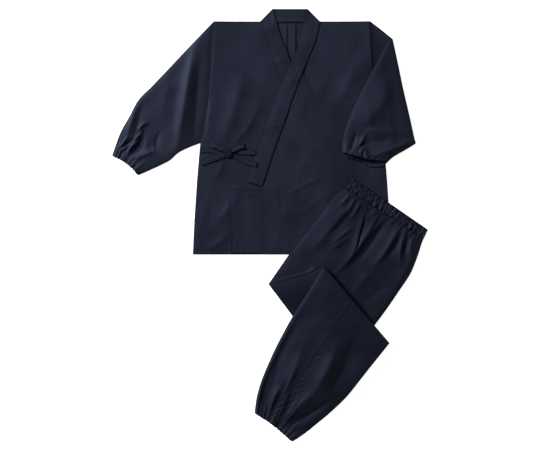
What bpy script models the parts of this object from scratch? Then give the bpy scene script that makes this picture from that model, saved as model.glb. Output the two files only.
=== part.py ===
"""Samue: a cotton work jacket and its trousers, laid out flat on a surface.

The jacket lies open side down with its left front over the right one, its right sleeve spread out
and its left sleeve turned in over the body. The trousers lie on its lower right corner, one leg on
the other, folded in a Z. +X is the viewer's right, +Y runs from the jacket's hem to its collar and
+Z is up. All sizes are in millimetres and are turned into metres where a mesh is made.
"""

import bpy
import numpy as np

MM = 0.001

# Cloth and sewing
CLOTH = 1.4            # wall of a single cloth
BAND = 2.4             # wall of a folded band
TIE = 1.3              # wall of a tie
LOOP_ROOT = 0.6        # how far a bow's loop stands open at the knot, and how much more at its end
LOOP_OPENING = 3.0
KNOT_CROWN = 2.0
SEAM_GAP = 0.3         # clearance between neighbours and between layers

# Jacket: where it lies, its length and its body's half widths
JACKET_X = 72
SHOULDER_Y = 665
BODY_LENGTH = 760
BODY_ROWS = 23         # level sections of a body panel, which the sleeves' armholes share
ARMHOLE_HALVES = 23    # half sections of the body from the shoulder to the underarm
BACK_PLEAT = (-19, 12, 150)      # left side, right side and length of the pleat below the neck
PLEAT_RISE = 1.6

# Heights that the cloth stands up by
SIDE_ROLL = 5.0        # the rolled ridge along a body's side seam
SIDE_ROLL_WIDTH = 9
SLEEVE_PUFF = 4.0
CUFF_BOW = 8           # how far the middle of a cuff is drawn back
LEG_PUFF = 4.0
PUFF_WIDTH = 16        # how far from an edge the puff is nearly full

# Trousers: thickness of the layers that nothing shows of
UPPER_LAYERS = 6.0
MIDDLE_LAYERS = 7.5
LOWER_LAYERS = 6.0
LAYER_GROOVE = 1.6     # how far the hollows between the layers lie behind their edges
WAIST_RIPPLES = 15
WAIST_RIPPLE = 1.6
WAIST_CROWN = (0.0, 1.2, 1.2, 0.2)     # the casing's own roundness, from its top to its seam
LAYER_EDGE = 0.7       # share of the hidden layers' thickness that is left at their edges
GATHER_RISE = 3.0      # ridges that the cuffs' elastics draw up, and how far they run
SLEEVE_GATHER = 22
LEG_GATHER = 24
SLEEVE_GATHERS = 6
LEG_GATHERS = 7

# The height field that records what already lies on the surface
CELL = 4
FIELD_X = (-620, 620)
FIELD_Y = (-760, 760)
BLEND = 8              # cloth eases over an edge below it within this distance
TIE_BLEND = 4
# How far round a point a piece looks for what it rests on: about as far as its facets reach
REACH = {
    "jacket_front_right": 10, "collar_right": 16, "pocket": 14, "jacket_front_left": 18,
    "collar_left": 16, "sleeve_right_front": 4, "sleeve_left_front": 30, "sleeve_left_back": 20,
    "trousers_layers_upper": 34, "trousers_layers_middle": 30, "trousers_layers_lower": 26,
    "trousers_waistband": 8, "tie_strip": 8, "tie_bow": 4,
}

# Jacket body. drop = distance below the shoulder line, half = from the centre line to the side seam
BODY_SIDE = (
    (0, 256), (156, 266), (248, 273), (369, 289), (395, 298), (422, 301), (516, 309), (652, 318),
    (760, 323),
)
# Front edge of the left front. drop, x (the right front's edge is its mirror image)
FRONT_EDGE = (
    (0, 82), (66, 64), (117, 42), (177, 18), (248, -6), (311, -27), (371, -49), (438, -73),
    (500, -91), (539, -99), (760, -99),
)
# Sections of the jacket's strips and sleeves: x and drop of the first side, x and drop of the second
COLLAR_LEFT = (
    (44, -40, 51, -41), (39, 0, 92, 1), (25, 49, 76, 66), (12, 96, 56, 112), (-5, 132, 40, 153),
    (-31, 189, 15, 216), (-51, 240, -3, 265), (-71, 296, -22, 322), (-95, 359, -45, 385),
    (-117, 420, -67, 446), (-137, 478, -84, 500), (-147, 523, -98, 539),
)
COLLAR_RIGHT = (
    (-64, -41, -60, -39), (-104, 0, -51, 0), (-86, 60, -37, 46), (-71, 105, -21, 83),
    (-52, 162, -5, 130), (-26, 215, 22, 188), (0, 265, 47, 240), (22, 322, 70, 296),
    (45, 385, 94, 359), (67, 446, 117, 420), (84, 500, 137, 478), (98, 539, 147, 523),
)
COLLAR_NECK = ((-58, -41, 42, -41), (-50, -1, 38, -1))
SLEEVE_RIGHT = (
    (-256, 0, -298, 397), (-334, 83, -337, 409), (-419, 171, -378, 430), (-460, 214, -400, 450),
    (-502, 257, -430, 466), (-530, 310, -458, 479), (-557, 360, -480, 489), (-586, 438, -504, 500),
)
SLEEVE_LEFT_ROOT = ((256, 0, 298, 397), (290, 26, 350, 398), (327, 56, 400, 399))
SLEEVE_LEFT_TURNED = (
    (317, 57, 328, 56), (268, 149, 348, 149), (226, 228, 365, 230), (195, 292, 379, 290),
    (175, 347, 393, 352), (163, 395, 401, 394), (162, 415, 368, 418), (163, 424, 331, 439),
    (164, 429, 307, 457),
)
SLEEVE_LEFT_INSIDE = SLEEVE_LEFT_TURNED[:-1] + ((175, 443, 300, 471),)
POCKET = ((-206, 549, -55, 549), (-203, 650, -54, 650), (-199, 757, -52, 757))

# Trousers, in the part's own frame: x and y on the front's edge, on the side seam and on the back's
WAIST = ((269, 153, 331, 111, 514, -14), (247, 120, 319, 74, 500, -43))
THIGH = (
    (247, 120, 319, 74, 500, -43), (213, 98, 313, 52, 494, -58), (190, 70, 305, 24, 484, -90),
    (160, 30, 293, -18, 470, -128), (112, -30, 275, -84, 452, -165), (67, -90, 243, -128, 420, -213),
    (30, -143, 213, -165, 385, -265), (-2, -190, 180, -215, 341, -326),
)
THIGH_HIDDEN = ((0, -194, 150, -290, 295, -410), (3, -199, 122, -350, 240, -512))
LEG_MIDDLE = (
    (-2, -192, 118, -352, 240, -514), (99, -166, 196, -306, 300, -455), (136, -152, 236, -278, 345, -418),
    (173, -133, 270, -246, 388, -384),
)
LEG_LOWER = (
    (173, -133, 270, -246, 388, -384), (125, -213, 225, -310, 340, -445), (76, -294, 170, -387, 290, -507),
    (48, -348, 139, -435, 255, -549), (22, -398, 110, -482, 222, -585), (0, -444, 83, -522, 186, -618),
    (-17, -486, 58, -560, 152, -646), (-32, -528, 36, -596, 120, -673), (-42, -568, 20, -627, 92, -693),
    (-48, -613, 9, -652, 73, -706),
)

# Folds: start x, start drop, end x, end drop, bend to the left of that line, height, half width
FOLDS_FRONT_RIGHT = (
    (-160, 165, -228, 400, 6, 5.5, 26), (-262, 250, -278, 380, -4, 4.0, 14),
    (-95, 250, -150, 380, -8, 3.0, 20), (-262, 450, -285, 700, 4, 3.0, 22),
    (-170, 470, -160, 540, 0, 2.5, 24), (-130, 580, -150, 730, 6, 3.0, 20),
)
FOLDS_FRONT_LEFT = (
    (130, 40, 70, 260, 10, 3.5, 26), (190, 60, 130, 420, 12, 3.5, 32), (60, 300, 10, 560, 8, 3.0, 30),
    (150, 420, 110, 700, -8, 3.0, 32), (-30, 560, -50, 740, 4, 2.5, 22),
)
FOLDS_SLEEVE_RIGHT = (
    (-322, 75, -368, 395, 8, 12.0, 20), (-432, 215, -436, 430, -14, 6.0, 26),
    (-385, 170, -400, 300, 4, 4.0, 20), (-526, 322, -528, 405, -4, 8.0, 12),
    (-481, 388, -551, 445, 4, 6.5, 9), (-488, 420, -528, 466, 2, 6.0, 8),
    (-476, 350, -430, 378, 6, 4.0, 10),
)
FOLDS_SLEEVE_LEFT = (
    (206, 350, 356, 354, 5, 6.0, 13), (236, 425, 392, 374, 6, 6.5, 12), (300, 150, 250, 320, 6, 4.5, 18),
    (180, 415, 300, 432, 4, 4.0, 9),
)
FOLDS_THIGH = (
    (342, 40, 270, -105, 7, 6.5, 11), (379, 44, 315, -40, -8, 5.5, 10), (419, 9, 334, -114, -6, 7.0, 11),
    (446, -16, 400, -130, -5, 5.5, 10), (472, -40, 430, -150, -4, 4.5, 9), (122, -10, 22, -160, 4, 6.0, 26),
    (160, -70, 100, -142, 4, 4.0, 10),
)
FOLDS_LOWER_LEG = (
    (47, -489, -16, -618, -12, 6.0, 8), (98, -500, 52, -600, 4, 4.5, 12), (178, -480, 46, -645, 8, 7.0, 11),
    (205, -562, 62, -680, 4, 5.5, 9), (120, -260, 60, -400, -6, 5.0, 24), (290, -400, 200, -530, 6, 5.0, 20),
)

# The side tie: x, drop and width along each stretch
TIE_STRIPS = (
    ("tie_side", ((-297, 423, 17), (-281, 420, 16), (-255, 425, 16), (-204, 428, 14))),
    ("tie_front", ((-119, 430, 14), (-150, 428, 15), (-180, 428, 15), (-212, 428, 14))),
    ("tie_end_outer", ((-206, 430, 14), (-222, 435, 19), (-258, 448, 20), (-296, 462, 21))),
    ("tie_end_inner", ((-208, 434, 12), (-180, 444, 14), (-156, 456, 16), (-115, 469, 17))),
)
TIE_LOOPS = (
    ("tie_loop_outer", ((-204, 424, 14), (-222, 418, 16), (-242, 407, 17), (-260, 400, 16))),
    ("tie_loop_inner", ((-210, 424, 14), (-192, 419, 17), (-172, 410, 17), (-157, 406, 15))),
)
TIE_KNOT = ((-209, 412, 15), (-208, 420, 18), (-208, 436, 18), (-207, 445, 15))

JACKET_CLOTH = ("jacket_cloth", (0.0180, 0.0212, 0.0369), 0.85)
TROUSER_CLOTH = ("trouser_cloth", (0.0132, 0.0148, 0.0262), 0.85)

UPPER_SIDES = {}       # the upper side of each finished piece, by its name


def clear_scene():
    """Remove what a new file holds and make the part's collection."""
    for item in list(bpy.data.objects):
        bpy.data.objects.remove(item, do_unlink=True)
    collection = bpy.data.collections.new("samue")
    bpy.context.scene.collection.children.link(collection)
    return collection


def cloth_material(finish):
    """Return the Principled material of a finish: its name, colour and roughness."""
    name, colour, roughness = finish
    material = bpy.data.materials.get(name)
    if material is None:
        material = bpy.data.materials.new(name)
        material.use_nodes = True
        shader = material.node_tree.nodes["Principled BSDF"]
        shader.inputs["Base Color"].default_value = (*colour, 1.0)
        shader.inputs["Roughness"].default_value = roughness
        shader.inputs["Metallic"].default_value = 0.0
    return material


def smooth_curve(points, count):
    """Read count points from the Catmull-Rom curve through the given points, by chord length."""
    points = np.asarray(points, float)
    chord = np.concatenate([[0], np.cumsum(np.linalg.norm(np.diff(points, axis=0), axis=1))])
    slope = np.gradient(points, chord, axis=0)
    at = np.linspace(0, chord[-1], count)
    i = np.clip(np.searchsorted(chord, at, side="right") - 1, 0, len(chord) - 2)
    step = (chord[i + 1] - chord[i])[:, None]
    u = ((at - chord[i])[:, None]) / step
    return ((1 + 2 * u) * (1 - u) ** 2 * points[i] + u * (1 - u) ** 2 * step * slope[i]
            + u ** 2 * (3 - 2 * u) * points[i + 1] + u ** 2 * (u - 1) * step * slope[i + 1])


def across(first, second, shares):
    """Carry straight sections from one side to the other; shares are their steps from 0 to 1."""
    shares = np.asarray(shares)[None, :, None]
    return first[:, None, :] * (1 - shares) + second[:, None, :] * shares


def section_grid(rows, count, shares):
    """Loft straight sections, given by their two ends, into a grid of points."""
    curve = smooth_curve(rows, count)
    return across(curve[:, 0:2], curve[:, 2:4], shares)


def seamed_grid(rows, count, front_steps, back_steps):
    """Loft sections that are bent at a seam, and return the grid of points."""
    curve = smooth_curve(rows, count)
    front = across(curve[:, 0:2], curve[:, 2:4], np.linspace(0, 1, front_steps + 1))
    back = across(curve[:, 2:4], curve[:, 4:6], np.linspace(0, 1, back_steps + 1))
    return np.concatenate([front, back[:, 1:]], axis=1)


def on_jacket(grid):
    """Turn x and drop on the jacket into the part's x and y."""
    return np.stack([JACKET_X + grid[..., 0], SHOULDER_Y - grid[..., 1]], axis=-1)


def edge_steps(width, count):
    """Steps from 0 to 1 across a width, with a fine start for the roll along the seam."""
    roll = np.array([0, 5, 11, 19]) / width
    return np.concatenate([roll, np.linspace(30 / width, 1, count - len(roll))])


def spans(grid):
    """Distance of every point from the first and the last column, along its section."""
    steps = np.linalg.norm(np.diff(grid, axis=1), axis=2)
    run = np.concatenate([np.zeros((len(grid), 1)), np.cumsum(steps, axis=1)], axis=1)
    return run, run[:, -1:] - run


def fold_height(grid, folds):
    """Sum the folds: a bell across each bent line, tapered to nothing at its two ends."""
    height = np.zeros(grid.shape[:2])
    for x0, y0, x1, y1, bend, rise, width in folds:
        start, line = np.array([x0, y0]), np.array([x1 - x0, y1 - y0])
        length = np.hypot(*line)
        along = ((grid - start) @ line) / length ** 2
        side = ((grid - start) @ np.array([line[1], -line[0]])) / length
        taper = np.clip(np.sin(np.pi * np.clip(0.08 + 0.84 * along, 0, 1)), 0, 1) ** 0.7
        inside = np.clip(1.5 - np.abs(along - 0.5) / 0.5, 0, 1)
        offset = side - bend * 4 * along * (1 - along)
        height += rise * taper * inside * np.exp(-(offset / width) ** 2)
    return height


def puff(distance, width=PUFF_WIDTH):
    """Rise from 0 at an edge to 1 well inside it."""
    return 1 - np.exp(-distance / width)


def roll(distance):
    """The rolled ridge beside a seam: nothing at the edge, highest one roll width in, then flat."""
    share = distance / SIDE_ROLL_WIDTH
    return SIDE_ROLL * share * np.exp(1 - share)


def gathers(share, distance, count, depth):
    """Ridges drawn up by an elastic: count of them across, dying away from the gathered edge."""
    return GATHER_RISE * (0.5 + 0.5 * np.cos(2 * np.pi * count * share)) * np.exp(-distance / depth)


def refine(grid, axis, factor):
    """Put factor - 1 points between neighbours along one axis."""
    grid = np.moveaxis(grid, axis, 0)
    at = np.arange((len(grid) - 1) * factor + 1) / factor
    i = np.minimum(at.astype(int), len(grid) - 2)
    share = (at - i).reshape(-1, 1, 1)
    return np.moveaxis(grid[i] * (1 - share) + grid[i + 1] * share, 0, axis)


def rest_height(grid, supports, reach, blend=BLEND):
    """Height at which cloth rests on finished pieces: their highest point within reach, eased."""
    cells = ((FIELD_X[1] - FIELD_X[0]) // CELL, (FIELD_Y[1] - FIELD_Y[0]) // CELL)
    field = np.zeros(cells)
    for name in supports:
        upper = UPPER_SIDES[name]
        for axis in (0, 1):
            longest = np.linalg.norm(np.diff(upper[..., :2], axis=axis), axis=2).max()
            upper = refine(upper, axis, int(np.ceil(longest / (0.6 * CELL))))
        i = ((upper[..., 0] - FIELD_X[0]) / CELL).astype(int).ravel()
        j = ((upper[..., 1] - FIELD_Y[0]) / CELL).astype(int).ravel()
        np.maximum.at(field, (i, j), upper[..., 2].ravel() + SEAM_GAP)
    for axis in (0, 1):
        steps = int(np.ceil((reach + blend) / CELL))
        field = np.max([np.roll(field, k, axis) for k in range(-steps, steps + 1)], axis=0)
    for axis in (0, 1):
        steps = blend // CELL
        field = np.mean([np.roll(field, k, axis) for k in range(-steps, steps + 1)], axis=0)
    x = (grid[..., 0] - FIELD_X[0]) / CELL - 0.5
    y = (grid[..., 1] - FIELD_Y[0]) / CELL - 0.5
    i, j = np.floor(x).astype(int), np.floor(y).astype(int)
    u, v = x - i, y - j
    return (field[i, j] * (1 - u) * (1 - v) + field[i + 1, j] * u * (1 - v)
            + field[i, j + 1] * (1 - u) * v + field[i + 1, j + 1] * u * v)


def rim(rows, columns):
    """Indices of a grid's border, in order round it."""
    index = np.arange(rows * columns).reshape(rows, columns)
    return np.concatenate([index[0, :-1], index[:-1, -1], index[-1, :0:-1], index[:0:-1, 0]])


def solid(collection, name, levels, finish, rim_levels=()):
    """Close a body between an underside and an upper side, by way of the rims given between them.

    levels holds the two grids of x, y and z; rim_levels holds rings of x, y and z round the border.
    """
    under, upper = levels
    rows, columns = under.shape[:2]
    border = rim(rows, columns)
    index = np.arange(rows * columns).reshape(rows, columns)
    corners = [index[:-1, :-1], index[:-1, 1:], index[1:, 1:], index[1:, :-1]]
    halves = [np.stack([corners[0], corners[k], corners[k + 1]], axis=-1).reshape(-1, 3) for k in (1, 2)]
    sheet = np.concatenate(halves)
    points = [under.reshape(-1, 3), *rim_levels, upper.reshape(-1, 3)]
    first_ring = rows * columns
    rings = [border]
    for number in range(len(rim_levels)):
        rings.append(first_ring + number * len(border) + np.arange(len(border)))
    top_start = first_ring + len(rim_levels) * len(border)
    rings.append(top_start + border)
    faces = [sheet[:, ::-1], sheet + top_start]
    for lower, higher in zip(rings[:-1], rings[1:]):
        faces.append(np.stack([lower, np.roll(lower, -1), np.roll(higher, -1)], axis=-1))
        faces.append(np.stack([lower, np.roll(higher, -1), higher], axis=-1))
    faces = np.concatenate(faces)
    ahead, left = under[1, 0, :2] - under[0, 0, :2], under[0, 1, :2] - under[0, 0, :2]
    if left[0] * ahead[1] - left[1] * ahead[0] < 0:
        faces = faces[:, ::-1]
    mesh = bpy.data.meshes.new(name)
    mesh.from_pydata((np.concatenate(points) * MM).tolist(), [], faces.tolist())
    mesh.materials.append(cloth_material(finish))
    mesh.shade_smooth()
    mesh.set_sharp_from_angle(angle=np.radians(40))
    piece = bpy.data.objects.new(name, mesh)
    collection.objects.link(piece)
    UPPER_SIDES[name] = upper
    return piece


def raised(grid, height):
    """Join a grid of x and y with its heights."""
    return np.concatenate([grid, np.broadcast_to(height, grid.shape[:2])[..., None]], axis=-1)


def cloth(collection, name, grid, height, finish, wall=CLOTH):
    """Make one cloth: its underside at the given height and its upper side a wall above it."""
    return solid(collection, name, (raised(grid, height), raised(grid, height + wall)), finish)


def layered(collection, name, grid, height, thickness, layers, finish):
    """Make hidden layers as one solid whose rim shows a groove between each two of them."""
    border = rim(*grid.shape[:2])
    under, upper = raised(grid, height), raised(grid, height + thickness)
    low, high = under.reshape(-1, 3)[border], upper.reshape(-1, 3)[border]
    inward = grid.reshape(-1, 2).mean(axis=0) - low[:, :2]
    inward /= np.linalg.norm(inward, axis=1, keepdims=True)
    rings = []
    for number in range(1, 2 * layers):
        ring = low + (high - low) * number / (2 * layers)
        if number % 2 == 0:
            ring[:, :2] += inward * LAYER_GROOVE
        rings.append(ring)
    return solid(collection, name, (under, upper), finish, rings)


def body_drops():
    """Drops of the body's level sections."""
    return np.linspace(0, BODY_LENGTH, BODY_ROWS)


def armhole_shares(every):
    """Steps down an armhole, at every so many half sections of the body and at its lower end."""
    return np.append(np.arange(0, ARMHOLE_HALVES, every), ARMHOLE_HALVES) / ARMHOLE_HALVES


def body_grid(left, right, shares):
    """Loft the body's level sections between two sides, given by their x at each of its drops."""
    drops = body_drops()
    return across(np.stack([left, drops], axis=-1), np.stack([right, drops], axis=-1), shares)


def side_at(drop):
    """Half width of the jacket's body at a drop, on straight runs between its level sections."""
    table = np.array(BODY_SIDE, float)
    return np.interp(drop, body_drops(), np.interp(body_drops(), table[:, 0], table[:, 1]))


def front_edge():
    """The left front's free edge: its x at each of the body's drops."""
    table = np.array(FRONT_EDGE, float)
    return np.interp(body_drops(), table[:, 0], table[:, 1])


def make_body(collection):
    """Back, right front, pocket and left front, from the surface up."""
    sides = side_at(body_drops())
    pleat_left, pleat_right, pleat_length = BACK_PLEAT
    sections = [(-side, pleat_left - 2, pleat_left, pleat_right, pleat_right + 2, side) for side in sides]
    grid = np.stack([np.array(sections), np.repeat(body_drops()[:, None], 6, axis=1)], axis=-1)
    rise = np.zeros(grid.shape[:2])
    rise[grid[:, 0, 1] <= pleat_length, 2:4] = PLEAT_RISE
    cloth(collection, "jacket_back", on_jacket(grid), rise, JACKET_CLOTH)

    grid = body_grid(-sides, -front_edge(), edge_steps(300, 17))
    from_side, _ = spans(grid)
    flat = on_jacket(grid)
    height = rest_height(flat, ["jacket_back"], REACH["jacket_front_right"]) + roll(from_side)
    height += fold_height(grid, FOLDS_FRONT_RIGHT) * puff(from_side)
    cloth(collection, "jacket_front_right", flat, height, JACKET_CLOTH)

    grid = section_grid(COLLAR_RIGHT, 22, (0, 0.5, 1))
    flat = on_jacket(grid)
    height = rest_height(flat, ["jacket_back", "jacket_front_right"], REACH["collar_right"])
    cloth(collection, "collar_right", flat, height, JACKET_CLOTH, BAND)

    grid = section_grid(POCKET, 9, np.linspace(0, 1, 9))
    flat = on_jacket(grid)
    height = rest_height(flat, ["jacket_front_right"], REACH["pocket"])
    cloth(collection, "pocket", flat, height, JACKET_CLOTH)

    grid = body_grid(sides, front_edge(), edge_steps(330, 19))
    from_side, _ = spans(grid)
    flat = on_jacket(grid)
    below = ["jacket_back", "jacket_front_right", "collar_right", "pocket"]
    height = rest_height(flat, below, REACH["jacket_front_left"]) + roll(from_side)
    height += fold_height(grid, FOLDS_FRONT_LEFT) * puff(from_side)
    cloth(collection, "jacket_front_left", flat, height, JACKET_CLOTH)


def make_collar(collection):
    """The neck's stretch of the collar, and the left front's band on top of all."""
    grid = on_jacket(section_grid(COLLAR_NECK, 4, np.linspace(0, 1, 5)))
    cloth(collection, "collar_neck", grid, np.zeros(grid.shape[:2]), JACKET_CLOTH, BAND)
    grid = on_jacket(section_grid(COLLAR_LEFT, 22, (0, 0.5, 1)))
    below = ["jacket_back", "jacket_front_right", "collar_right", "jacket_front_left", "pocket"]
    height = rest_height(grid, below, REACH["collar_left"])
    cloth(collection, "collar_left", grid, height, JACKET_CLOTH, BAND)


def armhole_fit(grid, side):
    """Bend a sleeve's first sections onto the body's side seam, a seam gap clear of it."""
    wanted = side * (side_at(grid[0, :, 1]) + SEAM_GAP)
    fade = np.clip(1 - np.arange(len(grid)) / 3, 0, 1)[:, None]
    grid[..., 0] += (wanted - grid[0, :, 0])[None, :] * fade
    return grid


def cuff_bow(grid, bow, reach):
    """Draw the middle of the last sections back from the cuff by the bow."""
    share = np.linspace(0, 1, grid.shape[1])
    back = grid[-2] - grid[-1]
    back /= np.linalg.norm(back, axis=1, keepdims=True)
    fade = np.clip(1 - np.arange(len(grid))[::-1] / reach, 0, 1)[:, None, None]
    return grid + fade * back * (bow * 4 * share * (1 - share))[None, :, None]


def make_sleeves(collection):
    """The spread right sleeve, and the left one turned in over the body."""
    grid = armhole_fit(section_grid(SLEEVE_RIGHT, 20, armhole_shares(2)), -1)
    grid = on_jacket(cuff_bow(grid, CUFF_BOW, 4))
    cloth(collection, "sleeve_right_back", grid, np.zeros(grid.shape[:2]), JACKET_CLOTH)

    shares = armhole_shares(1)
    grid = cuff_bow(armhole_fit(section_grid(SLEEVE_RIGHT, 20, shares), -1), CUFF_BOW, 4)
    from_top, from_under = spans(grid)
    flat = on_jacket(grid)
    from_cuff = np.linalg.norm(grid - grid[-1], axis=2)
    puffed = puff(from_top) * puff(from_under) * puff(np.linalg.norm(grid - grid[0], axis=2))
    height = rest_height(flat, ["sleeve_right_back"], REACH["sleeve_right_front"])
    height += (SLEEVE_PUFF + fold_height(grid, FOLDS_SLEEVE_RIGHT)) * puffed
    height += gathers(shares[None, :], from_cuff, SLEEVE_GATHERS, SLEEVE_GATHER)
    cloth(collection, "sleeve_right_front", flat, height, JACKET_CLOTH)

    grid = on_jacket(armhole_fit(section_grid(SLEEVE_LEFT_ROOT, 4, armhole_shares(2)), 1))
    layered(collection, "sleeve_left_root", grid, 0.0, 2 * CLOTH + 0.8, 2, JACKET_CLOTH)

    below = ["jacket_front_left", "sleeve_left_root"]
    grid = on_jacket(section_grid(SLEEVE_LEFT_INSIDE, 14, np.linspace(0, 1, 8)))
    height = rest_height(grid, below, REACH["sleeve_left_front"])
    cloth(collection, "sleeve_left_front", grid, height, JACKET_CLOTH)

    grid = section_grid(SLEEVE_LEFT_TURNED, 22, np.linspace(0, 1, 15))
    from_left, from_right = spans(grid)
    flat = on_jacket(grid)
    from_cuff = np.linalg.norm(grid - grid[-1], axis=2)
    height = rest_height(flat, ["sleeve_left_front"], REACH["sleeve_left_back"])
    height += (SLEEVE_PUFF + fold_height(grid, FOLDS_SLEEVE_LEFT)) * puff(from_left) * puff(from_right)
    height += gathers(np.linspace(0, 1, 15)[None, :], from_cuff, SLEEVE_GATHERS, SLEEVE_GATHER)
    cloth(collection, "sleeve_left_back", flat, height, JACKET_CLOTH)


JACKET_PIECES = (
    "jacket_back", "jacket_front_right", "collar_right", "pocket", "jacket_front_left", "collar_left",
    "sleeve_left_root", "sleeve_left_front", "sleeve_left_back",
)


def reach_from(grid, row):
    """Distance of every point from the same column's point in the given row."""
    return np.linalg.norm(grid - grid[row], axis=2)


def cover_leg(collection, stretch, grid, height, seam):
    """Lay the front and the back cloth of one stretch of the leg, parted at the side seam."""
    along = grid[:, seam + 1] - grid[:, seam]
    along *= SEAM_GAP / np.linalg.norm(along, axis=1, keepdims=True)
    front, back = grid[:, :seam + 1].copy(), grid[:, seam:].copy()
    front[:, -1] -= along
    back[:, 0] += along
    cloth(collection, f"trousers_front_{stretch}", front, height[:, :seam + 1], TROUSER_CLOTH)
    cloth(collection, f"trousers_back_{stretch}", back, height[:, seam:], TROUSER_CLOTH)


def make_waistband(collection):
    """The waistband's casing, drawn into ripples by its elastic."""
    columns = 4 * WAIST_RIPPLES + 1
    edges = [smooth_curve(np.array(row, float).reshape(3, 2), columns) for row in WAIST]
    grid = across(edges[0], edges[1], (0, 0.25, 0.75, 0.98)).transpose(1, 0, 2)
    share = np.linspace(0, 1, columns)
    strength = WAIST_RIPPLE * (0.25 + 0.75 * np.clip(3 * share - 0.8, 0, 1))
    ripple = strength * (1 + np.cos(2 * np.pi * WAIST_RIPPLES * share))
    height = rest_height(grid, ["trousers_layers_upper"], REACH["trousers_waistband"])
    height += np.array(WAIST_CROWN)[:, None] + ripple[None, :]
    cloth(collection, "trousers_waistband", grid, height, TROUSER_CLOTH, BAND)


def make_thigh(collection):
    """The trousers' upper stretch, which lies on the jacket's corner."""
    front, back = 7, 11
    thigh = seamed_grid(THIGH, 13, front, back)
    waist = seamed_grid(WAIST, 2, front, back)[:1]
    hidden = seamed_grid(THIGH_HIDDEN, 3, front, back)
    grid = np.concatenate([waist, thigh, hidden])
    from_front, from_back = spans(grid)
    bulge = puff(from_front) * puff(from_back)
    floor = rest_height(grid, JACKET_PIECES, REACH["trousers_layers_upper"])
    thickness = UPPER_LAYERS * (LAYER_EDGE + (1 - LAYER_EDGE) * bulge)
    layered(collection, "trousers_layers_upper", grid, floor, thickness, 3, TROUSER_CLOTH)
    seen = slice(1, 1 + len(thigh))
    lift = (LEG_PUFF + fold_height(thigh, FOLDS_THIGH)) * bulge[seen] * puff(reach_from(thigh, 0), 10)
    cover_leg(collection, "upper", thigh, (floor + thickness)[seen] + SEAM_GAP + lift, front)
    make_waistband(collection)


def make_lower_leg(collection):
    """The fold's middle, and the lower leg that runs down from it to the gathered cuff."""
    below = ["trousers_layers_upper", "trousers_front_upper", "trousers_back_upper"]
    grid = seamed_grid(LEG_MIDDLE, 7, 3, 3)
    from_front, from_back = spans(grid)
    bulge = puff(from_front) * puff(from_back)
    thickness = MIDDLE_LAYERS * (LAYER_EDGE + (1 - LAYER_EDGE) * bulge)
    floor = rest_height(grid, below, REACH["trousers_layers_middle"])
    layered(collection, "trousers_layers_middle", grid, floor, thickness, 4, TROUSER_CLOTH)

    front, back = 7, 7
    grid = seamed_grid(LEG_LOWER, 20, front, back)
    from_front, from_back = spans(grid)
    bulge = puff(from_front) * puff(from_back) * puff(reach_from(grid, 0), 10)
    thickness = LOWER_LAYERS * (LAYER_EDGE + (1 - LAYER_EDGE) * bulge)
    floor = rest_height(grid, below + ["trousers_layers_middle"], REACH["trousers_layers_lower"])
    layered(collection, "trousers_layers_lower", grid, floor, thickness, 3, TROUSER_CLOTH)
    share = np.linspace(0, 1, front + back + 1)[None, :]
    lift = (LEG_PUFF + fold_height(grid, FOLDS_LOWER_LEG)) * bulge
    lift += gathers(share, reach_from(grid, -1), LEG_GATHERS, LEG_GATHER)
    cover_leg(collection, "lower", grid, floor + thickness + SEAM_GAP + lift, front)


def strip_grid(path, count, columns):
    """Lay a strip along a path of x, drop and width."""
    curve = smooth_curve(path, count)
    ahead = np.gradient(curve[:, :2], axis=0)
    ahead /= np.linalg.norm(ahead, axis=1, keepdims=True)
    half = np.stack([-ahead[:, 1], ahead[:, 0]], axis=-1) * curve[:, 2:3] / 2
    return across(curve[:, :2] + half, curve[:, :2] - half, np.linspace(0, 1, columns))


def make_ties(collection):
    """The two straps of the side tie, and their bow: the ends, the loops and the knot on top."""
    below = ["jacket_front_right", "jacket_front_left", "collar_left"]
    for name, path in TIE_STRIPS:
        grid = on_jacket(strip_grid(path, 9, 3))
        cloth(collection, name, grid, rest_height(grid, below, REACH["tie_strip"]), JACKET_CLOTH, TIE)
        below.append(name)
    for name, path in TIE_LOOPS:
        make_loop(collection, name, path, below)
        below.append(name)
    grid = on_jacket(strip_grid(TIE_KNOT, 9, 5))
    from_left, from_right = spans(grid)
    height = rest_height(grid, below, REACH["tie_bow"], TIE_BLEND)
    height += KNOT_CROWN * puff(from_left, TIE_BLEND) * puff(from_right, TIE_BLEND)
    cloth(collection, "tie_knot", grid, height, JACKET_CLOTH, BAND)


def make_loop(collection, name, path, below):
    """One loop of the bow: the strap runs out, turns over and runs back above itself."""
    grid = on_jacket(strip_grid(path, 10, 3))
    low = rest_height(grid, below, REACH["tie_bow"], TIE_BLEND)
    opening = LOOP_ROOT + LOOP_OPENING * np.sin(np.linspace(0, 0.5 * np.pi, len(grid)))[:, None]
    middle = low[-1] + TIE + opening[-1] / 2
    ahead = (grid[-1] - grid[-2]) / np.linalg.norm(grid[-1] - grid[-2], axis=1, keepdims=True)
    angles = np.radians((-60, -20, 20, 60))
    outer, inner = [raised(grid, low)], [raised(grid, low + TIE)]
    for radius, side in ((TIE + opening[-1] / 2, outer), (opening[-1] / 2, inner)):
        for angle in angles:
            turned = grid[-1] + ahead * (radius * np.cos(angle))[..., None]
            side.append(raised(turned[None], middle + radius * np.sin(angle)))
    outer.append(raised(grid, low + 2 * TIE + opening)[::-1])
    inner.append(raised(grid, low + TIE + opening)[::-1])
    solid(collection, name, (np.concatenate(outer), np.concatenate(inner)), JACKET_CLOTH)
    UPPER_SIDES[name] = raised(grid, low + 2 * TIE + opening)


def main():
    """Build every piece, lowest first, because each one lies on those before it."""
    collection = clear_scene()
    make_body(collection)
    make_collar(collection)
    make_sleeves(collection)
    make_thigh(collection)
    make_lower_leg(collection)
    make_ties(collection)


main()
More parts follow.
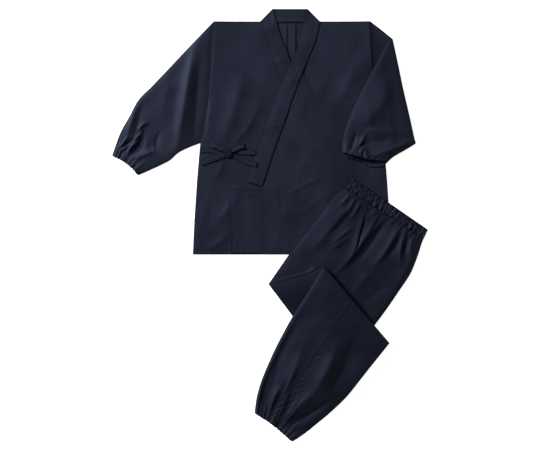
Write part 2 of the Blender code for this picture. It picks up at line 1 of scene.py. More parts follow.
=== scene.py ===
"""Dress the samue, a cotton work jacket and its trousers, laid out flat on a surface.

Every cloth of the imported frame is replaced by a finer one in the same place: a closed shell with
rounded edges, soft folds, gathers, sewn lines and a woven finish. The classes' sizes are in
millimetres and become metres where a mesh is made. +X is the viewer's right, +Y runs from the
jacket's hem to its collar, and +Z is up.
"""

import logging
from dataclasses import dataclass, field
from enum import Enum

import bpy
import numpy as np
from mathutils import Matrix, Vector


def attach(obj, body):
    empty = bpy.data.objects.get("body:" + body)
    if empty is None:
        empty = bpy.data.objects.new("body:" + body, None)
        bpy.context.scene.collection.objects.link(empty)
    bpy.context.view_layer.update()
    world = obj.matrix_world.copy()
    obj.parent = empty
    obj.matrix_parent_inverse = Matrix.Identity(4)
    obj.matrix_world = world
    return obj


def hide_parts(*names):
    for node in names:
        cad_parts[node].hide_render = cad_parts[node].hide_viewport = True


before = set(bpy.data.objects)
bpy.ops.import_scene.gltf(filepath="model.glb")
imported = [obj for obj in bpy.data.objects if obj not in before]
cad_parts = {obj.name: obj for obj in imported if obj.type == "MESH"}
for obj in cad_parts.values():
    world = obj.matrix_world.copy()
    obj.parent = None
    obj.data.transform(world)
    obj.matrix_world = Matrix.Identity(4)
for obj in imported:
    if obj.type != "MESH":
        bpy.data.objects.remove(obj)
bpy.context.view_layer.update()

Array = np.ndarray
Steps = tuple[Array, Array]            # shares of a grid's rows, and of its columns
Rows = tuple[tuple[float, ...], ...]
Triple = tuple[float, float, float]
Nodes = tuple[str, ...]

MM = 0.001
BODY = "root"

CLOTH = 1.0            # wall of a single cloth
BAND = 1.4             # wall of a folded band
TIE = 1.1              # wall of a tie
SEAM_GAP = 0.3         # clearance between neighbours and between layers
REACH = 5.0            # how far round a point cloth looks for what it rests on
BLEND = 8.0            # how softly it eases over an edge below it
EDGE_ROUND = (0.30, 0.42, 0.30)        # how far a cloth's edge rounds out, from under to upper side
CLOSE_STEPS = (-2.4, -1.1, 0.0, 1.1, 2.4)      # grid lines beside a sewn line or an edge
GLOSS = 0.36                           # dyed cotton's specular level, and its tint
GLOSS_TINT = (0.5, 0.58, 1.0)

log = logging.getLogger("samue")


class Hold(Enum):
    """How a sheet is held."""

    LAID = "laid"
    GATHERED = "gathered"
    FOLDED = "folded"


class Slot(Enum):
    """The garments' material slots."""

    JACKET = "jacket_cloth"
    TROUSERS = "trouser_cloth"


@dataclass(frozen=True)
class Cut:
    """The flat size that a cloth was cut to, in metres, what it lies on, and how it is held."""

    width: float
    length: float
    area: float | None = None
    on: Nodes = ("floor",)
    hold: Hold = Hold.LAID


FRONTS: Nodes = ("jacket_back", "jacket_front_right")
TIE_BASE: Nodes = ("jacket_front_right", "jacket_front_left", "collar_left")
THIGH: Nodes = ("trousers_layers_upper", "trousers_front_upper", "trousers_back_upper")
CUTS: dict[str, Cut] = {
    "jacket_back": Cut(0.66, 0.78, 0.448),
    "jacket_front_right": Cut(0.43, 0.78, 0.25, ("jacket_back",)),
    "jacket_front_left": Cut(0.43, 0.78, 0.25, (*FRONTS, "collar_right", "pocket")),
    "collar_neck": Cut(0.108, 0.044, 0.0046, ("floor", "jacket_back")),
    "collar_right": Cut(0.052, 0.62, 0.0305, (*FRONTS, "collar_neck")),
    "collar_left": Cut(0.052, 0.62, 0.0305,
                       (*FRONTS, "collar_neck", "collar_right", "jacket_front_left", "pocket")),
    "pocket": Cut(0.17, 0.24, 0.032, ("jacket_front_right",)),
    "sleeve_right_back": Cut(0.36, 0.45, 0.095),
    "sleeve_right_front": Cut(0.36, 0.45, 0.105, ("sleeve_right_back",), Hold.GATHERED),
    "sleeve_left_root": Cut(0.12, 0.4, 0.042),
    "sleeve_left_front": Cut(0.36, 0.45, 0.066, ("jacket_front_left", "sleeve_left_root"), Hold.FOLDED),
    "sleeve_left_back": Cut(0.36, 0.45, 0.066, ("sleeve_left_front",), Hold.FOLDED),
    "trousers_layers_upper": Cut(0.42, 0.62, 0.2, (*FRONTS, "pocket", "jacket_front_left"), Hold.FOLDED),
    "trousers_front_upper": Cut(0.2, 0.42, 0.057, THIGH[:1]),
    "trousers_back_upper": Cut(0.28, 0.45, 0.072, THIGH[:1]),
    "trousers_waistband": Cut(0.42, 0.04, 0.0125, THIGH[:1], Hold.GATHERED),
    "trousers_layers_middle": Cut(0.35, 0.24, 0.066, THIGH, Hold.FOLDED),
    "trousers_layers_lower": Cut(0.33, 0.56, 0.125, (*THIGH, "trousers_layers_middle"), Hold.FOLDED),
    "trousers_front_lower": Cut(0.2, 0.57, 0.062, ("trousers_layers_lower",)),
    "trousers_back_lower": Cut(0.2, 0.57, 0.062, ("trousers_layers_lower",)),
    "tie_side": Cut(0.017, 0.095, None, TIE_BASE),
    "tie_front": Cut(0.017, 0.095, None, TIE_BASE),
    "tie_end_outer": Cut(0.017, 0.095, None, (*TIE_BASE, "tie_side")),
    "tie_end_inner": Cut(0.017, 0.095, None, (*TIE_BASE, "tie_front")),
    "tie_loop_outer": Cut(0.017, 0.125, None, ("tie_side", "tie_end_outer")),
    "tie_loop_inner": Cut(0.017, 0.125, None, ("tie_front", "tie_end_inner")),
    "tie_knot": Cut(0.018, 0.036, None, ("tie_loop_outer", "tie_loop_inner")),
}


def unit(vectors: Array) -> Array:
    """Bring the vectors along the last axis to length 1."""
    return vectors / np.maximum(np.linalg.norm(vectors, axis=-1, keepdims=True), 1e-9)


def run_along(points: Array) -> Array:
    """Distance of every point from its row's first one, along the line through the row."""
    steps = np.linalg.norm(np.diff(points, axis=-2), axis=-1)
    return np.concatenate([np.zeros_like(steps[..., :1]), np.cumsum(steps, axis=-1)], axis=-1)


def spans(grid: Array) -> tuple[Array, Array]:
    """Distance of every point from its section's first and last point, along the section."""
    run = run_along(grid)
    return run, run[:, -1:] - run


def run_from(grid: Array, row: int) -> Array:
    """Distance of every point from the same column's point in the given row."""
    return np.linalg.norm(grid - grid[row], axis=2)


def edge_distance(plan: Array) -> Array:
    """Distance of every point from the nearest of its grid's four sides."""
    return np.min([*spans(plan), *[run.T for run in spans(plan.transpose(1, 0, 2))]], axis=0)


def smooth_curve(points: Rows | Array, shares: Array) -> Array:
    """Read the Catmull-Rom curve through points at shares of its chord length.

    Between two points it is the cubic that leaves and arrives with their mean slopes.

    Args:
        points: The points that the curve runs through.
        shares: Where to read it, from 0 at its start to 1 at its end.

    Returns:
        One point for each share.
    """
    points = np.asarray(points, float)
    chord = run_along(points)
    slope = np.gradient(points, chord, axis=0)
    at = shares * chord[-1]
    i = np.clip(np.searchsorted(chord, at, side="right") - 1, 0, len(chord) - 2)
    step = (chord[i + 1] - chord[i])[:, None]
    u = (at - chord[i])[:, None] / step
    return ((1 + 2 * u) * (1 - u) ** 2 * points[i] + u * (1 - u) ** 2 * step * slope[i]
            + u ** 2 * (3 - 2 * u) * points[i + 1] + u ** 2 * (u - 1) * step * slope[i + 1])


def across(first: Array, second: Array, shares: Array) -> Array:
    """Carry straight sections from one side to the other: first × (1 − share) + second × share."""
    shares = shares[None, :, None]
    return first[:, None, :] * (1 - shares) + second[:, None, :] * shares


def section_grid(sections: Rows, rows: Array, columns: Array) -> Array:
    """Loft straight sections, given by their two ends, along smooth curves through those ends."""
    curve = smooth_curve(sections, rows)
    return across(curve[:, 0:2], curve[:, 2:4], columns)


def strip_grid(path: Rows, rows: Array, columns: Array) -> Array:
    """Lay a strip along a path: half of its width to each side of the path's direction.

    Args:
        path: Points of x, drop and width.
        rows: Shares of the path.
        columns: Shares of the strip's width.

    Returns:
        The strip as a grid of x and drop.
    """
    curve = smooth_curve(path, rows)
    ahead = unit(np.gradient(curve[:, :2], axis=0))
    half = np.stack([-ahead[:, 1], ahead[:, 0]], axis=-1) * curve[:, 2:3] / 2
    return across(curve[:, :2] + half, curve[:, :2] - half, columns)


def run_steps(length: float, spacing: float, lines: tuple[float, ...] = ()) -> Array:
    """Shares of a run: even ones, and close ones beside its two ends and each sewn line.

    Args:
        length: The run's length.
        spacing: The even steps' spacing.
        lines: Distances of the sewn lines from its start.

    Returns:
        Rising shares from 0 to 1.
    """
    even = np.linspace(0, length, int(np.ceil(length / spacing)) + 1)
    close = np.array([0, *lines, length])[:, None] + np.array(CLOSE_STEPS)
    close = np.unique(np.round(close[(close >= 0) & (close <= length)], 2))
    even = even[np.abs(even[:, None] - close).min(axis=1) > 1.0]
    at = np.unique(np.concatenate([even, close])) / length
    at[-1] = 1
    return at


def puff(distance: Array, width: float = 16.0) -> Array:
    """Rise from 0 at an edge to 1 well inside it: 1 − e^(−distance ÷ width)."""
    return 1 - np.exp(-distance / width)


def soft_sides(grid: Array, first: float = 16.0, last: float = 16.0) -> Array:
    """Rise from 0 at a grid's first and last side to 1 between them: the two sides' puffs, multiplied."""
    from_first, from_last = spans(grid)
    return puff(from_first, first) * puff(from_last, last)


def bell(offset: Array, width: float) -> Array:
    """A bell of height 1: e^(−(offset ÷ width)²)."""
    return np.exp(-(offset / width) ** 2)


def sewn_dip(distance: Array, depth: float = 0.55) -> Array:
    """The hollow that a row of stitches draws into cloth: −depth × a bell 1.4 mm wide."""
    return -depth * bell(distance, 1.4)


def side_roll(distance: Array, drop: Array, rise: float, width: float, end: float) -> Array:
    """A seam's raised edge: rise × e^(−distance ÷ width), of which 0.65 starts over 2.5 mm.

    It fades over the last 60 mm of drop before its end, and a quarter of it is left after that.
    """
    fading = 0.25 + 0.75 * np.clip((end - drop) / 60, 0, 1)
    return rise * np.exp(-distance / width) * (0.35 + 0.65 * puff(distance, 2.5)) * fading


@dataclass(frozen=True)
class Fold:
    """A soft ridge, or a trough where rise is below 0, along a bent line."""

    x0: float
    y0: float
    x1: float
    y1: float
    bend: float        # how far the line's middle bows to the side
    rise: float
    width: float
    lean: float = 0.0  # share by which one flank is wider, and the other steeper
    tip: float = 0.3   # share of the width over which the crest is rounded

    def height(self, grid: Array) -> Array:
        """Height over a grid: rise × taper along the line × crest across it.

        The crest is e^(−(√(side² + r²) − r) ÷ (d × width)), where r is the tip's share of the width
        and d is 0.8 − 0.35 × that share.

        Args:
            grid: The cloth's points.

        Returns:
            The fold's height at each of them.
        """
        line = np.array([self.x1 - self.x0, self.y1 - self.y0])
        length = np.hypot(*line)
        offset = grid - np.array([self.x0, self.y0])
        along = (offset @ line) / length ** 2
        side = (offset @ np.array([line[1], -line[0]])) / length - self.bend * 4 * along * (1 - along)
        taper = np.clip(np.sin(np.pi * np.clip(0.08 + 0.84 * along, 0, 1)), 0, 1) ** 0.7
        taper = taper * np.clip(1.5 - np.abs(along - 0.5) / 0.5, 0, 1)
        width = self.width * (1 + self.lean * np.tanh(side / self.width))
        tip = self.tip * width
        slope = (0.8 - 0.35 * self.tip) * width
        return self.rise * taper * np.exp(-(np.sqrt(side ** 2 + tip ** 2) - tip) / slope)


def soft_fold(*sizes: float) -> Fold:
    """A fold with a fully rounded crest, from its line's ends, bend, rise, width and lean."""
    return Fold(*sizes, tip=1.0)


@dataclass(frozen=True)
class Unevenness:
    """The slight unevenness of cloth that was folded and has been smoothed out by hand."""

    rise: float
    wave: float
    seed: int
    waves: int = 16

    def height(self, grid: Array) -> Array:
        """Sum of plane waves whose directions, lengths and phases are drawn from the seed.

        Args:
            grid: The cloth's points.

        Returns:
            The height at each of them.
        """
        draw = np.random.default_rng(self.seed)
        angle = draw.uniform(0, 2 * np.pi, self.waves)
        length = self.wave * draw.uniform(0.6, 2.0, self.waves)
        phase = draw.uniform(0, 2 * np.pi, self.waves)
        ways = np.stack([np.cos(angle), np.sin(angle)]) * 2 * np.pi / length
        return self.rise * np.sqrt(2 / self.waves) * np.cos(grid @ ways + phase).sum(axis=-1)


Reliefs = tuple[Fold | Unevenness, ...]


def folded(grid: Array, reliefs: Reliefs) -> Array:
    """Sum of the folds' and the unevenness's heights over a grid."""
    return sum(relief.height(grid) for relief in reliefs)


@dataclass(frozen=True)
class Gathers:
    """Uneven ridges that an elastic draws up, dying away from the gathered edge."""

    count: int
    rise: float
    depth: float       # how far the ridges run into the cloth
    seed: int
    first: float = 1.0 # share of the rise at the first side, for cloth that is drawn unevenly
    last: float = 1.0  # the same at the last side
    stray: float = 0.24        # how far a crest strays from its even place, as a share of the spacing

    def height(self, share: Array, distance: Array) -> Array:
        """Sum of bells round each crest: strength × e^(−(gap ÷ 0.32)²) × e^(−(distance ÷ depth)^1.3).

        Args:
            share: Where across the gathered edge each point lies, from 0 to 1.
            distance: How far each point lies from the gathered edge.

        Returns:
            The height of each point.
        """
        draw = np.random.default_rng(self.seed)
        crest = np.arange(self.count) + 0.5 + draw.uniform(-self.stray, self.stray, self.count)
        crest = crest / self.count
        strength = self.rise * draw.uniform(0.55, 1.0, self.count)
        strength = strength * (self.first + (self.last - self.first) * crest)
        depth = self.depth * draw.uniform(0.5, 1.5, self.count)
        gap = (share[..., None] - crest) * self.count
        fading = np.exp(-(np.maximum(distance, 0)[..., None] / depth) ** 1.3)
        return (strength * bell(gap, 0.32) * fading).sum(axis=-1)


@dataclass
class Ground:
    """A height field of everything that already lies on the surface."""

    cell: float = 2.0
    low: tuple[float, float] = (-640.0, -780.0)
    tops: dict[str, tuple[Array, Array]] = field(default_factory=dict)

    def lay(self, name: str, top: Array) -> None:
        """Record a finished piece's upper side, read finely enough to reach every cell below it.

        Args:
            name: The piece's node.
            top: Its upper side as a grid of x, y and z.
        """
        for axis in (0, 1):
            longest = np.linalg.norm(np.diff(top[..., :2], axis=axis), axis=2).max()
            top = self.refined(top, axis, int(np.ceil(longest / (0.9 * self.cell))))
        index = np.floor((top[..., :2] - self.low) / self.cell).astype(int)
        self.tops[name] = (index.reshape(-1, 2), top[..., 2].ravel())

    @staticmethod
    def refined(grid: Array, axis: int, factor: int) -> Array:
        """Put points between a grid's neighbours along one axis, on straight lines.

        Args:
            grid: The grid.
            axis: The axis.
            factor: Into how many steps each step is parted.

        Returns:
            The finer grid.
        """
        grid = np.moveaxis(grid, axis, 0)
        at = np.arange((len(grid) - 1) * factor + 1) / factor
        i = np.minimum(at.astype(int), len(grid) - 2)
        share = (at - i).reshape(-1, 1, 1)
        return np.moveaxis(grid[i] * (1 - share) + grid[i + 1] * share, 0, axis)

    def height(self, plan: Array, supports: Nodes, reach: float, blend: float) -> Array:
        """Height at which cloth rests on finished pieces.

        It is the supports' highest point within reach + blend, averaged twice over half the blend,
        so that the cloth clears each edge below it and eases down beside it.

        Args:
            plan: The cloth's points as a grid of x and y.
            supports: What it lies on; where there is none it lies on the floor, at 0.
            reach: How far round a point the cloth has to clear what is below.
            blend: How softly it eases over an edge.

        Returns:
            The height of the cloth's underside at each point.
        """
        half = max(1, round(blend / (2 * self.cell)))
        steps = int(np.ceil(reach / self.cell)) + 2 * half
        place = (plan - self.low) / self.cell - 0.5
        start = np.floor(place.min(axis=(0, 1))).astype(int) - steps - 2
        stop = np.ceil(place.max(axis=(0, 1))).astype(int) + steps + 3
        heights = np.zeros(stop - start)
        for index, top in [self.tops[name] for name in supports if name != "floor"]:
            inside = ((index >= start) & (index < stop)).all(axis=1)
            np.maximum.at(heights, tuple((index[inside] - start).T), top[inside] + SEAM_GAP)
        for axis in (0, 1):
            heights = np.max([np.roll(heights, k, axis) for k in range(-steps, steps + 1)], axis=0)
        for axis in (0, 1, 0, 1):
            heights = np.mean([np.roll(heights, k, axis) for k in range(-half, half + 1)], axis=0)
        place = place - start
        i = np.floor(place).astype(int)
        u, v = np.moveaxis(place - i, -1, 0)
        x, y = np.moveaxis(i, -1, 0)
        return (heights[x, y] * (1 - u) * (1 - v) + heights[x + 1, y] * u * (1 - v)
                + heights[x, y + 1] * (1 - u) * v + heights[x + 1, y + 1] * u * v)


def raised(plan: Array, height: Array | float) -> Array:
    """Join a grid of x and y with its heights."""
    return np.concatenate([plan, np.broadcast_to(height, plan.shape[:2])[..., None]], axis=-1)


def outward(ring: Array) -> Array:
    """Unit directions out of a closed outline: each point's tangent, turned to the outside.

    Args:
        ring: The outline's points, in order.

    Returns:
        One direction for each point.
    """
    after = np.roll(ring, -1, axis=0)
    tangent = after - np.roll(ring, 1, axis=0)
    area = (ring[:, 0] * after[:, 1] - ring[:, 1] * after[:, 0]).sum()
    return unit(np.stack([tangent[:, 1], -tangent[:, 0]], axis=-1) * np.sign(area))


def cloth_coordinates(plan: Array) -> Array:
    """Measure a cloth's own coordinates: the runs of its grid's columns and rows.

    Args:
        plan: The cloth as a grid of x and y.

    Returns:
        Metres across the cloth from its middle and along it, for each point.
    """
    across_run, along_run = run_along(plan), run_along(plan.transpose(1, 0, 2))
    middle = across_run - across_run.mean(axis=1, keepdims=True)
    return np.stack([middle, along_run.T], axis=-1) * MM


def make_mesh(name: str, points: Array, quads: Array) -> bpy.types.Mesh:
    """Put points and quads into a new smooth mesh.

    Args:
        name: The mesh's name.
        points: Its points, in millimetres.
        quads: The four points of each face, by number.

    Returns:
        The mesh, in metres.
    """
    mesh = bpy.data.meshes.new(name)
    mesh.vertices.add(len(points))
    mesh.vertices.foreach_set("co", (points * MM).astype(np.float32).ravel())
    mesh.loops.add(quads.size)
    mesh.loops.foreach_set("vertex_index", quads.astype(np.int32).ravel())
    mesh.polygons.add(len(quads))
    mesh.polygons.foreach_set("loop_start", np.arange(0, quads.size, 4, dtype=np.int32))
    mesh.update(calc_edges=True)
    mesh.validate()
    mesh.shade_smooth()
    return mesh


def closed_shell(name: str, under: Array, upper: Array, bulges: tuple[float, ...]) -> bpy.types.Mesh:
    """Close a cloth between its underside and its upper side, by rings that round its edge.

    Ring k of n lies (k ÷ (n + 1)) of the way up and stands its bulge out of the outline. The mesh
    carries the cloth's own coordinates as a UV map and its distance from the edge as an attribute.

    Args:
        name: The mesh's name.
        under: The underside as a grid of x, y and z.
        upper: The upper side, with the same x and y.
        bulges: How far each ring stands out.

    Returns:
        The closed mesh, its faces outward.
    """
    rows, columns = under.shape[:2]
    index = np.arange(rows * columns).reshape(rows, columns)
    border = np.concatenate([index[0, :-1], index[:-1, -1], index[-1, :0:-1], index[:0:-1, 0]])
    sheet = np.stack([index[:-1, :-1], index[:-1, 1:], index[1:, 1:], index[1:, :-1]], axis=-1)
    sheet = sheet.reshape(-1, 4)
    low, high = under.reshape(-1, 3)[border], upper.reshape(-1, 3)[border]
    out = outward(low[:, :2])
    rings, levels = [border], []
    for number, bulge in enumerate(bulges):
        ring = low + (high - low) * (number + 1) / (len(bulges) + 1)
        ring[:, :2] += out * bulge
        levels.append(ring)
        rings.append(rows * columns + number * len(border) + np.arange(len(border)))
    top = rows * columns + len(bulges) * len(border)
    rings.append(top + border)
    quads = [sheet[:, ::-1], sheet + top]
    for lower, higher in zip(rings[:-1], rings[1:]):
        quads.append(np.stack([lower, np.roll(lower, -1), np.roll(higher, -1), higher], axis=-1))
    quads = np.concatenate(quads)
    ahead, left = under[1, 0, :2] - under[0, 0, :2], under[0, 1, :2] - under[0, 0, :2]
    if left[0] * ahead[1] - left[1] * ahead[0] < 0:
        quads = quads[:, ::-1]
    mesh = make_mesh(name, np.concatenate([under.reshape(-1, 3), *levels, upper.reshape(-1, 3)]), quads)

    uv = cloth_coordinates(under[..., :2]).reshape(-1, 2)
    uv = np.concatenate([uv, *[uv[border]] * len(bulges), uv])
    corner = np.empty(len(mesh.loops), np.int32)
    mesh.loops.foreach_get("vertex_index", corner)
    mesh.uv_layers.new(name="cloth").data.foreach_set("uv", uv[corner].astype(np.float32).ravel())
    edge = edge_distance(under[..., :2]).ravel()
    edge = np.concatenate([edge, np.zeros(len(bulges) * len(border)), edge])
    mesh.attributes.new("edge_mm", "FLOAT", "POINT").data.foreach_set("value", edge.astype(np.float32))
    return mesh


@dataclass
class Panel:
    """A finished cloth and the grid it was made on."""

    top: Array         # its upper side as a grid of x, y and z
    steps: Steps
    piece: bpy.types.Object

    def at(self, rows: Array | float, columns: Array | float) -> Array:
        """Read points of the upper side between its corners.

        Args:
            rows: Their shares of its rows.
            columns: Their shares of its columns.

        Returns:
            The points.
        """
        places = [np.interp(share, steps, np.arange(len(steps)))
                  for share, steps in zip(np.broadcast_arrays(rows, columns), self.steps)]
        i, j = [np.minimum(place.astype(int), len(steps) - 2) for place, steps in zip(places, self.steps)]
        u, v = (places[0] - i)[:, None], (places[1] - j)[:, None]
        first = self.top[i, j] * (1 - v) + self.top[i, j + 1] * v
        second = self.top[i + 1, j] * (1 - v) + self.top[i + 1, j + 1] * v
        return first * (1 - u) + second * u


@dataclass(frozen=True)
class Stitch:
    """One visible stitch of a sewn line: a short lozenge of thread."""

    pitch: float = 3.4
    length: float = 2.7
    width: float = 0.75
    height: float = 0.6
    ends: float = 0.45         # its end sections' share of the middle one's size

    def row(self, path: Array) -> tuple[Array, Array]:
        """Lay stitches along a path.

        Each has three diamond sections, at −½, 0 and ½ of its length, set along the path's
        direction.

        Args:
            path: Points on the cloth's upper side, in order.

        Returns:
            The stitches' points, and their quads.
        """
        run = run_along(path)
        count = max(2, int(run[-1] / self.pitch))
        at = (np.arange(count) + 0.5) * run[-1] / count
        back, centre, front = [np.stack([np.interp(at + shift, run, axis) for axis in path.T], axis=-1)
                               for shift in (-0.5, 0, 0.5)]
        ahead = unit(front - back)
        side = unit(np.cross([0, 0, 1], ahead))
        up = np.cross(ahead, side)
        along = np.repeat([-0.5, 0.0, 0.5], 4) * self.length
        size = np.repeat([self.ends, 1.0, self.ends], 4) / 2
        y, z = np.tile([1, 0, -1, 0], 3) * size * self.width, np.tile([0, 1, 0, -1], 3) * size * self.height
        points = centre[:, None] + sum(way[:, None] * offset[:, None]
                                       for way, offset in ((ahead, along), (side, y), (up, z)))
        corner = np.arange(4)
        after = (corner + 1) % 4
        walls = [np.stack([corner, after, 4 + after, 4 + corner], axis=-1) + start for start in (0, 4)]
        quads = np.concatenate([*walls, [[0, 3, 2, 1], [8, 9, 10, 11]]])
        quads = quads[None] + 12 * np.arange(count)[:, None, None]
        return points.reshape(-1, 3), quads.reshape(-1, 4)


class Sketch:
    """Adds nodes to a shader tree and joins them."""

    def __init__(self, tree: bpy.types.NodeTree) -> None:
        """Start on a tree."""
        self.tree = tree

    def add(self, kind: str, **inputs: object) -> bpy.types.Node:
        """Add a node.

        Args:
            kind: The node type's name after ShaderNode.
            **inputs: Attributes, or input values and links by name with _ for a space.

        Returns:
            The new node.
        """
        node = self.tree.nodes.new(f"ShaderNode{kind}")
        for name, value in inputs.items():
            if hasattr(node, name):
                setattr(node, name, value)
            else:
                self.join(value, node.inputs[name.replace("_", " ")])
        return node

    def join(self, value: object, socket: bpy.types.NodeSocket) -> None:
        """Link an output to a socket, or set the socket's own value.

        Args:
            value: The output, or the value.
            socket: The input socket.
        """
        if isinstance(value, bpy.types.NodeSocket):
            self.tree.links.new(value, socket)
        else:
            socket.default_value = value

    def math(self, operation: str, *values: object) -> bpy.types.NodeSocket:
        """Work out a number from one to three others.

        Args:
            operation: What is done with them.
            *values: The numbers, or the sockets that give them.

        Returns:
            The socket that gives the result.
        """
        node = self.add("Math", operation=operation)
        for value, socket in zip(values, node.inputs):
            self.join(value, socket)
        return node.outputs[0]

    def times(self, value: object, factor: object, more: object = 0.0) -> bpy.types.NodeSocket:
        """Work out value × factor + more."""
        return self.math("MULTIPLY_ADD", value, factor, more)

    def noise(self, place: object, scale: object, detail: float,
              roughness: float = 0.5) -> bpy.types.NodeSocket:
        """Noise from −1 to 1."""
        made = self.add("TexNoise", Vector=place, Scale=scale, Detail=detail, Roughness=roughness)
        return self.times(made.outputs["Fac"], 2.0, -1.0)

    def mix(self, share: object, *colours: object) -> bpy.types.NodeSocket:
        """Mix two colours, each of them a socket or a triple."""
        first, second = [(*colour, 1) if isinstance(colour, tuple) else colour for colour in colours]
        return self.add("MixRGB", Fac=share, Color1=first, Color2=second).outputs[0]


class SharedEffect(Sketch):
    """A node group that several finishes use: named inputs, and one number that it puts out."""

    def __init__(self, name: str, output: str, **inputs: str) -> None:
        """Start the group.

        Args:
            name: Its name.
            output: Its output's name.
            **inputs: Each input's kind by the input's name, with _ for a space.
        """
        super().__init__(bpy.data.node_groups.new(name, "ShaderNodeTree"))
        for label, kind in inputs.items():
            self.tree.interface.new_socket(label.replace("_", " "), in_out="INPUT",
                                           socket_type=f"NodeSocket{kind}")
        self.tree.interface.new_socket(output, in_out="OUTPUT", socket_type="NodeSocketFloat")
        self.given = self.tree.nodes.new("NodeGroupInput").outputs

    def closed(self, value: bpy.types.NodeSocket) -> bpy.types.NodeTree:
        """Put a value out, and give the finished group."""
        self.join(value, self.tree.nodes.new("NodeGroupOutput").inputs[0])
        return self.tree


def plain_weave() -> bpy.types.NodeTree:
    """Make the relief of a plain weave: warp threads |sin x| crossed over and under by the weft.

    Returns:
        The node group.
    """
    effect = SharedEffect("plain_weave", "Height", Cloth="Vector", Threads="Float")
    place = effect.add("SeparateXYZ", Vector=effect.given["Cloth"])
    turn = effect.times(effect.given["Threads"], np.pi)
    x, y = [effect.times(place.outputs[axis], turn) for axis in "XY"]
    flip = effect.times(effect.math("FLOOR", effect.math("DIVIDE", x, np.pi)), np.pi)
    over = effect.times(effect.math("SINE", effect.math("ADD", y, flip)), 0.3, 0.7)
    return effect.closed(effect.times(effect.math("ABSOLUTE", effect.math("SINE", x)), over))


def slub_yarn() -> bpy.types.NodeTree:
    """Make uneven yarn: streaks of noise drawn out along the warp and, fainter, along the weft.

    Returns:
        The node group.
    """
    effect = SharedEffect("slub_yarn", "Tint", Cloth="Vector", Warp_share="Float")
    streaks = []
    for scale in ((210.0, 9.0, 1.0), (12.0, 190.0, 1.0)):
        stretched = effect.add("VectorMath", operation="MULTIPLY")
        effect.join(effect.given["Cloth"], stretched.inputs[0])
        effect.join(scale, stretched.inputs[1])
        streaks.append(effect.noise(stretched.outputs[0], 1.0, 3.0, 0.6))
    share = effect.given["Warp share"]
    weft = effect.times(streaks[1], effect.math("SUBTRACT", 1.0, share))
    return effect.closed(effect.times(streaks[0], share, weft))


def dye_mottle() -> bpy.types.NodeTree:
    """Make the dye's soft cloudiness: noise about two hands wide with a finer one on it."""
    effect = SharedEffect("dye_mottle", "Tint", Place="Vector", Scale="Float")
    return effect.closed(effect.noise(effect.given["Place"], effect.given["Scale"], 4.0, 0.55))


def painted_edge_shade() -> bpy.types.NodeTree:
    """Make the painted edge shade: darker edges that stand in for the shade where the cloth is turned under.

    The mask is e^(−edge distance ÷ width), broken up by noise.

    Returns:
        The node group.
    """
    effect = SharedEffect("painted_edge_shade", "Mask", Edge="Float", Place="Vector", Width="Float")
    share = effect.math("DIVIDE", effect.given["Edge"], effect.given["Width"])
    fading = effect.math("POWER", np.e, effect.times(share, -1.0))
    broken = effect.times(effect.noise(effect.given["Place"], 140.0, 2.0), 0.4, 0.9)
    return effect.closed(effect.times(fading, broken))


Effects = dict[str, bpy.types.NodeTree]


def new_material(name: str, **values: object) -> tuple[bpy.types.Material, Sketch, bpy.types.Node]:
    """Start a material.

    Args:
        name: Its name.
        **values: Its shader's own values by name, with _ for a space.

    Returns:
        The material, the sketch of its nodes, and its shader.
    """
    made = bpy.data.materials.new(name)
    made.use_nodes = True
    shader = made.node_tree.nodes["Principled BSDF"]
    for label, value in values.items():
        shader.inputs[label.replace("_", " ")].default_value = value
    return made, Sketch(made.node_tree), shader


@dataclass(frozen=True)
class ClothFinish:
    """A woven cotton finish."""

    name: str
    dark: Triple
    pale: Triple
    # painted shade: the colour that the cloth darkens to along its edges
    edge: Triple
    roughness: float = 0.64
    threads: float = 900.0     # threads in a metre
    warp_share: float = 0.86
    mottle_scale: float = 7.0
    painted_shade_width: float = 2.3    # how far in from its edge the painted edge shade reaches, in millimetres

    def material(self, effects: Effects) -> bpy.types.Material:
        """Make the material: its tint is 0.47 + 0.55 slub + 0.9 mottle + 0.12 weave.

        Args:
            effects: The shared node groups by name.

        Returns:
            The material.
        """
        made, sketch, shader = new_material(self.name, Specular_IOR_Level=GLOSS,
                                            Specular_Tint=(*GLOSS_TINT, 1))
        place = sketch.add("TexCoord").outputs["Object"]
        cloth = sketch.add("UVMap", uv_map="cloth").outputs["UV"]
        edge = sketch.add("Attribute", attribute_name="edge_mm").outputs["Fac"]
        inputs = {
            "weave": {"Cloth": cloth, "Threads": self.threads},
            "slub": {"Cloth": cloth, "Warp_share": self.warp_share},
            "mottle": {"Place": place, "Scale": self.mottle_scale},
            "edge": {"Edge": edge, "Place": place, "Width": self.painted_shade_width},
        }
        weave, slub, mottle, shade = [
            sketch.add("Group", node_tree=effects[name], **values).outputs[0]
            for name, values in inputs.items()
        ]
        tint = sketch.times(weave, 0.12, sketch.times(mottle, 0.9, sketch.times(slub, 0.55, 0.47)))
        tint = sketch.math("MINIMUM", sketch.math("MAXIMUM", tint, 0.0), 1.0)
        # Painted shade: shade, the edge mask, darkens the colour toward the edge colour along each cloth's
        # edge, standing in for the shade where the cloth turns under; the roughness rises there too.
        colour = sketch.mix(shade, sketch.mix(tint, self.dark, self.pale), self.edge)
        sketch.join(colour, shader.inputs["Base Color"])
        roughness = sketch.times(shade, 0.36, sketch.times(slub, 0.08, self.roughness))
        sketch.join(roughness, shader.inputs["Roughness"])
        bump = sketch.add("Bump", Strength=0.35, Distance=0.0003, Height=sketch.times(slub, 0.6, weave))
        sketch.join(bump.outputs[0], shader.inputs["Normal"])
        return made


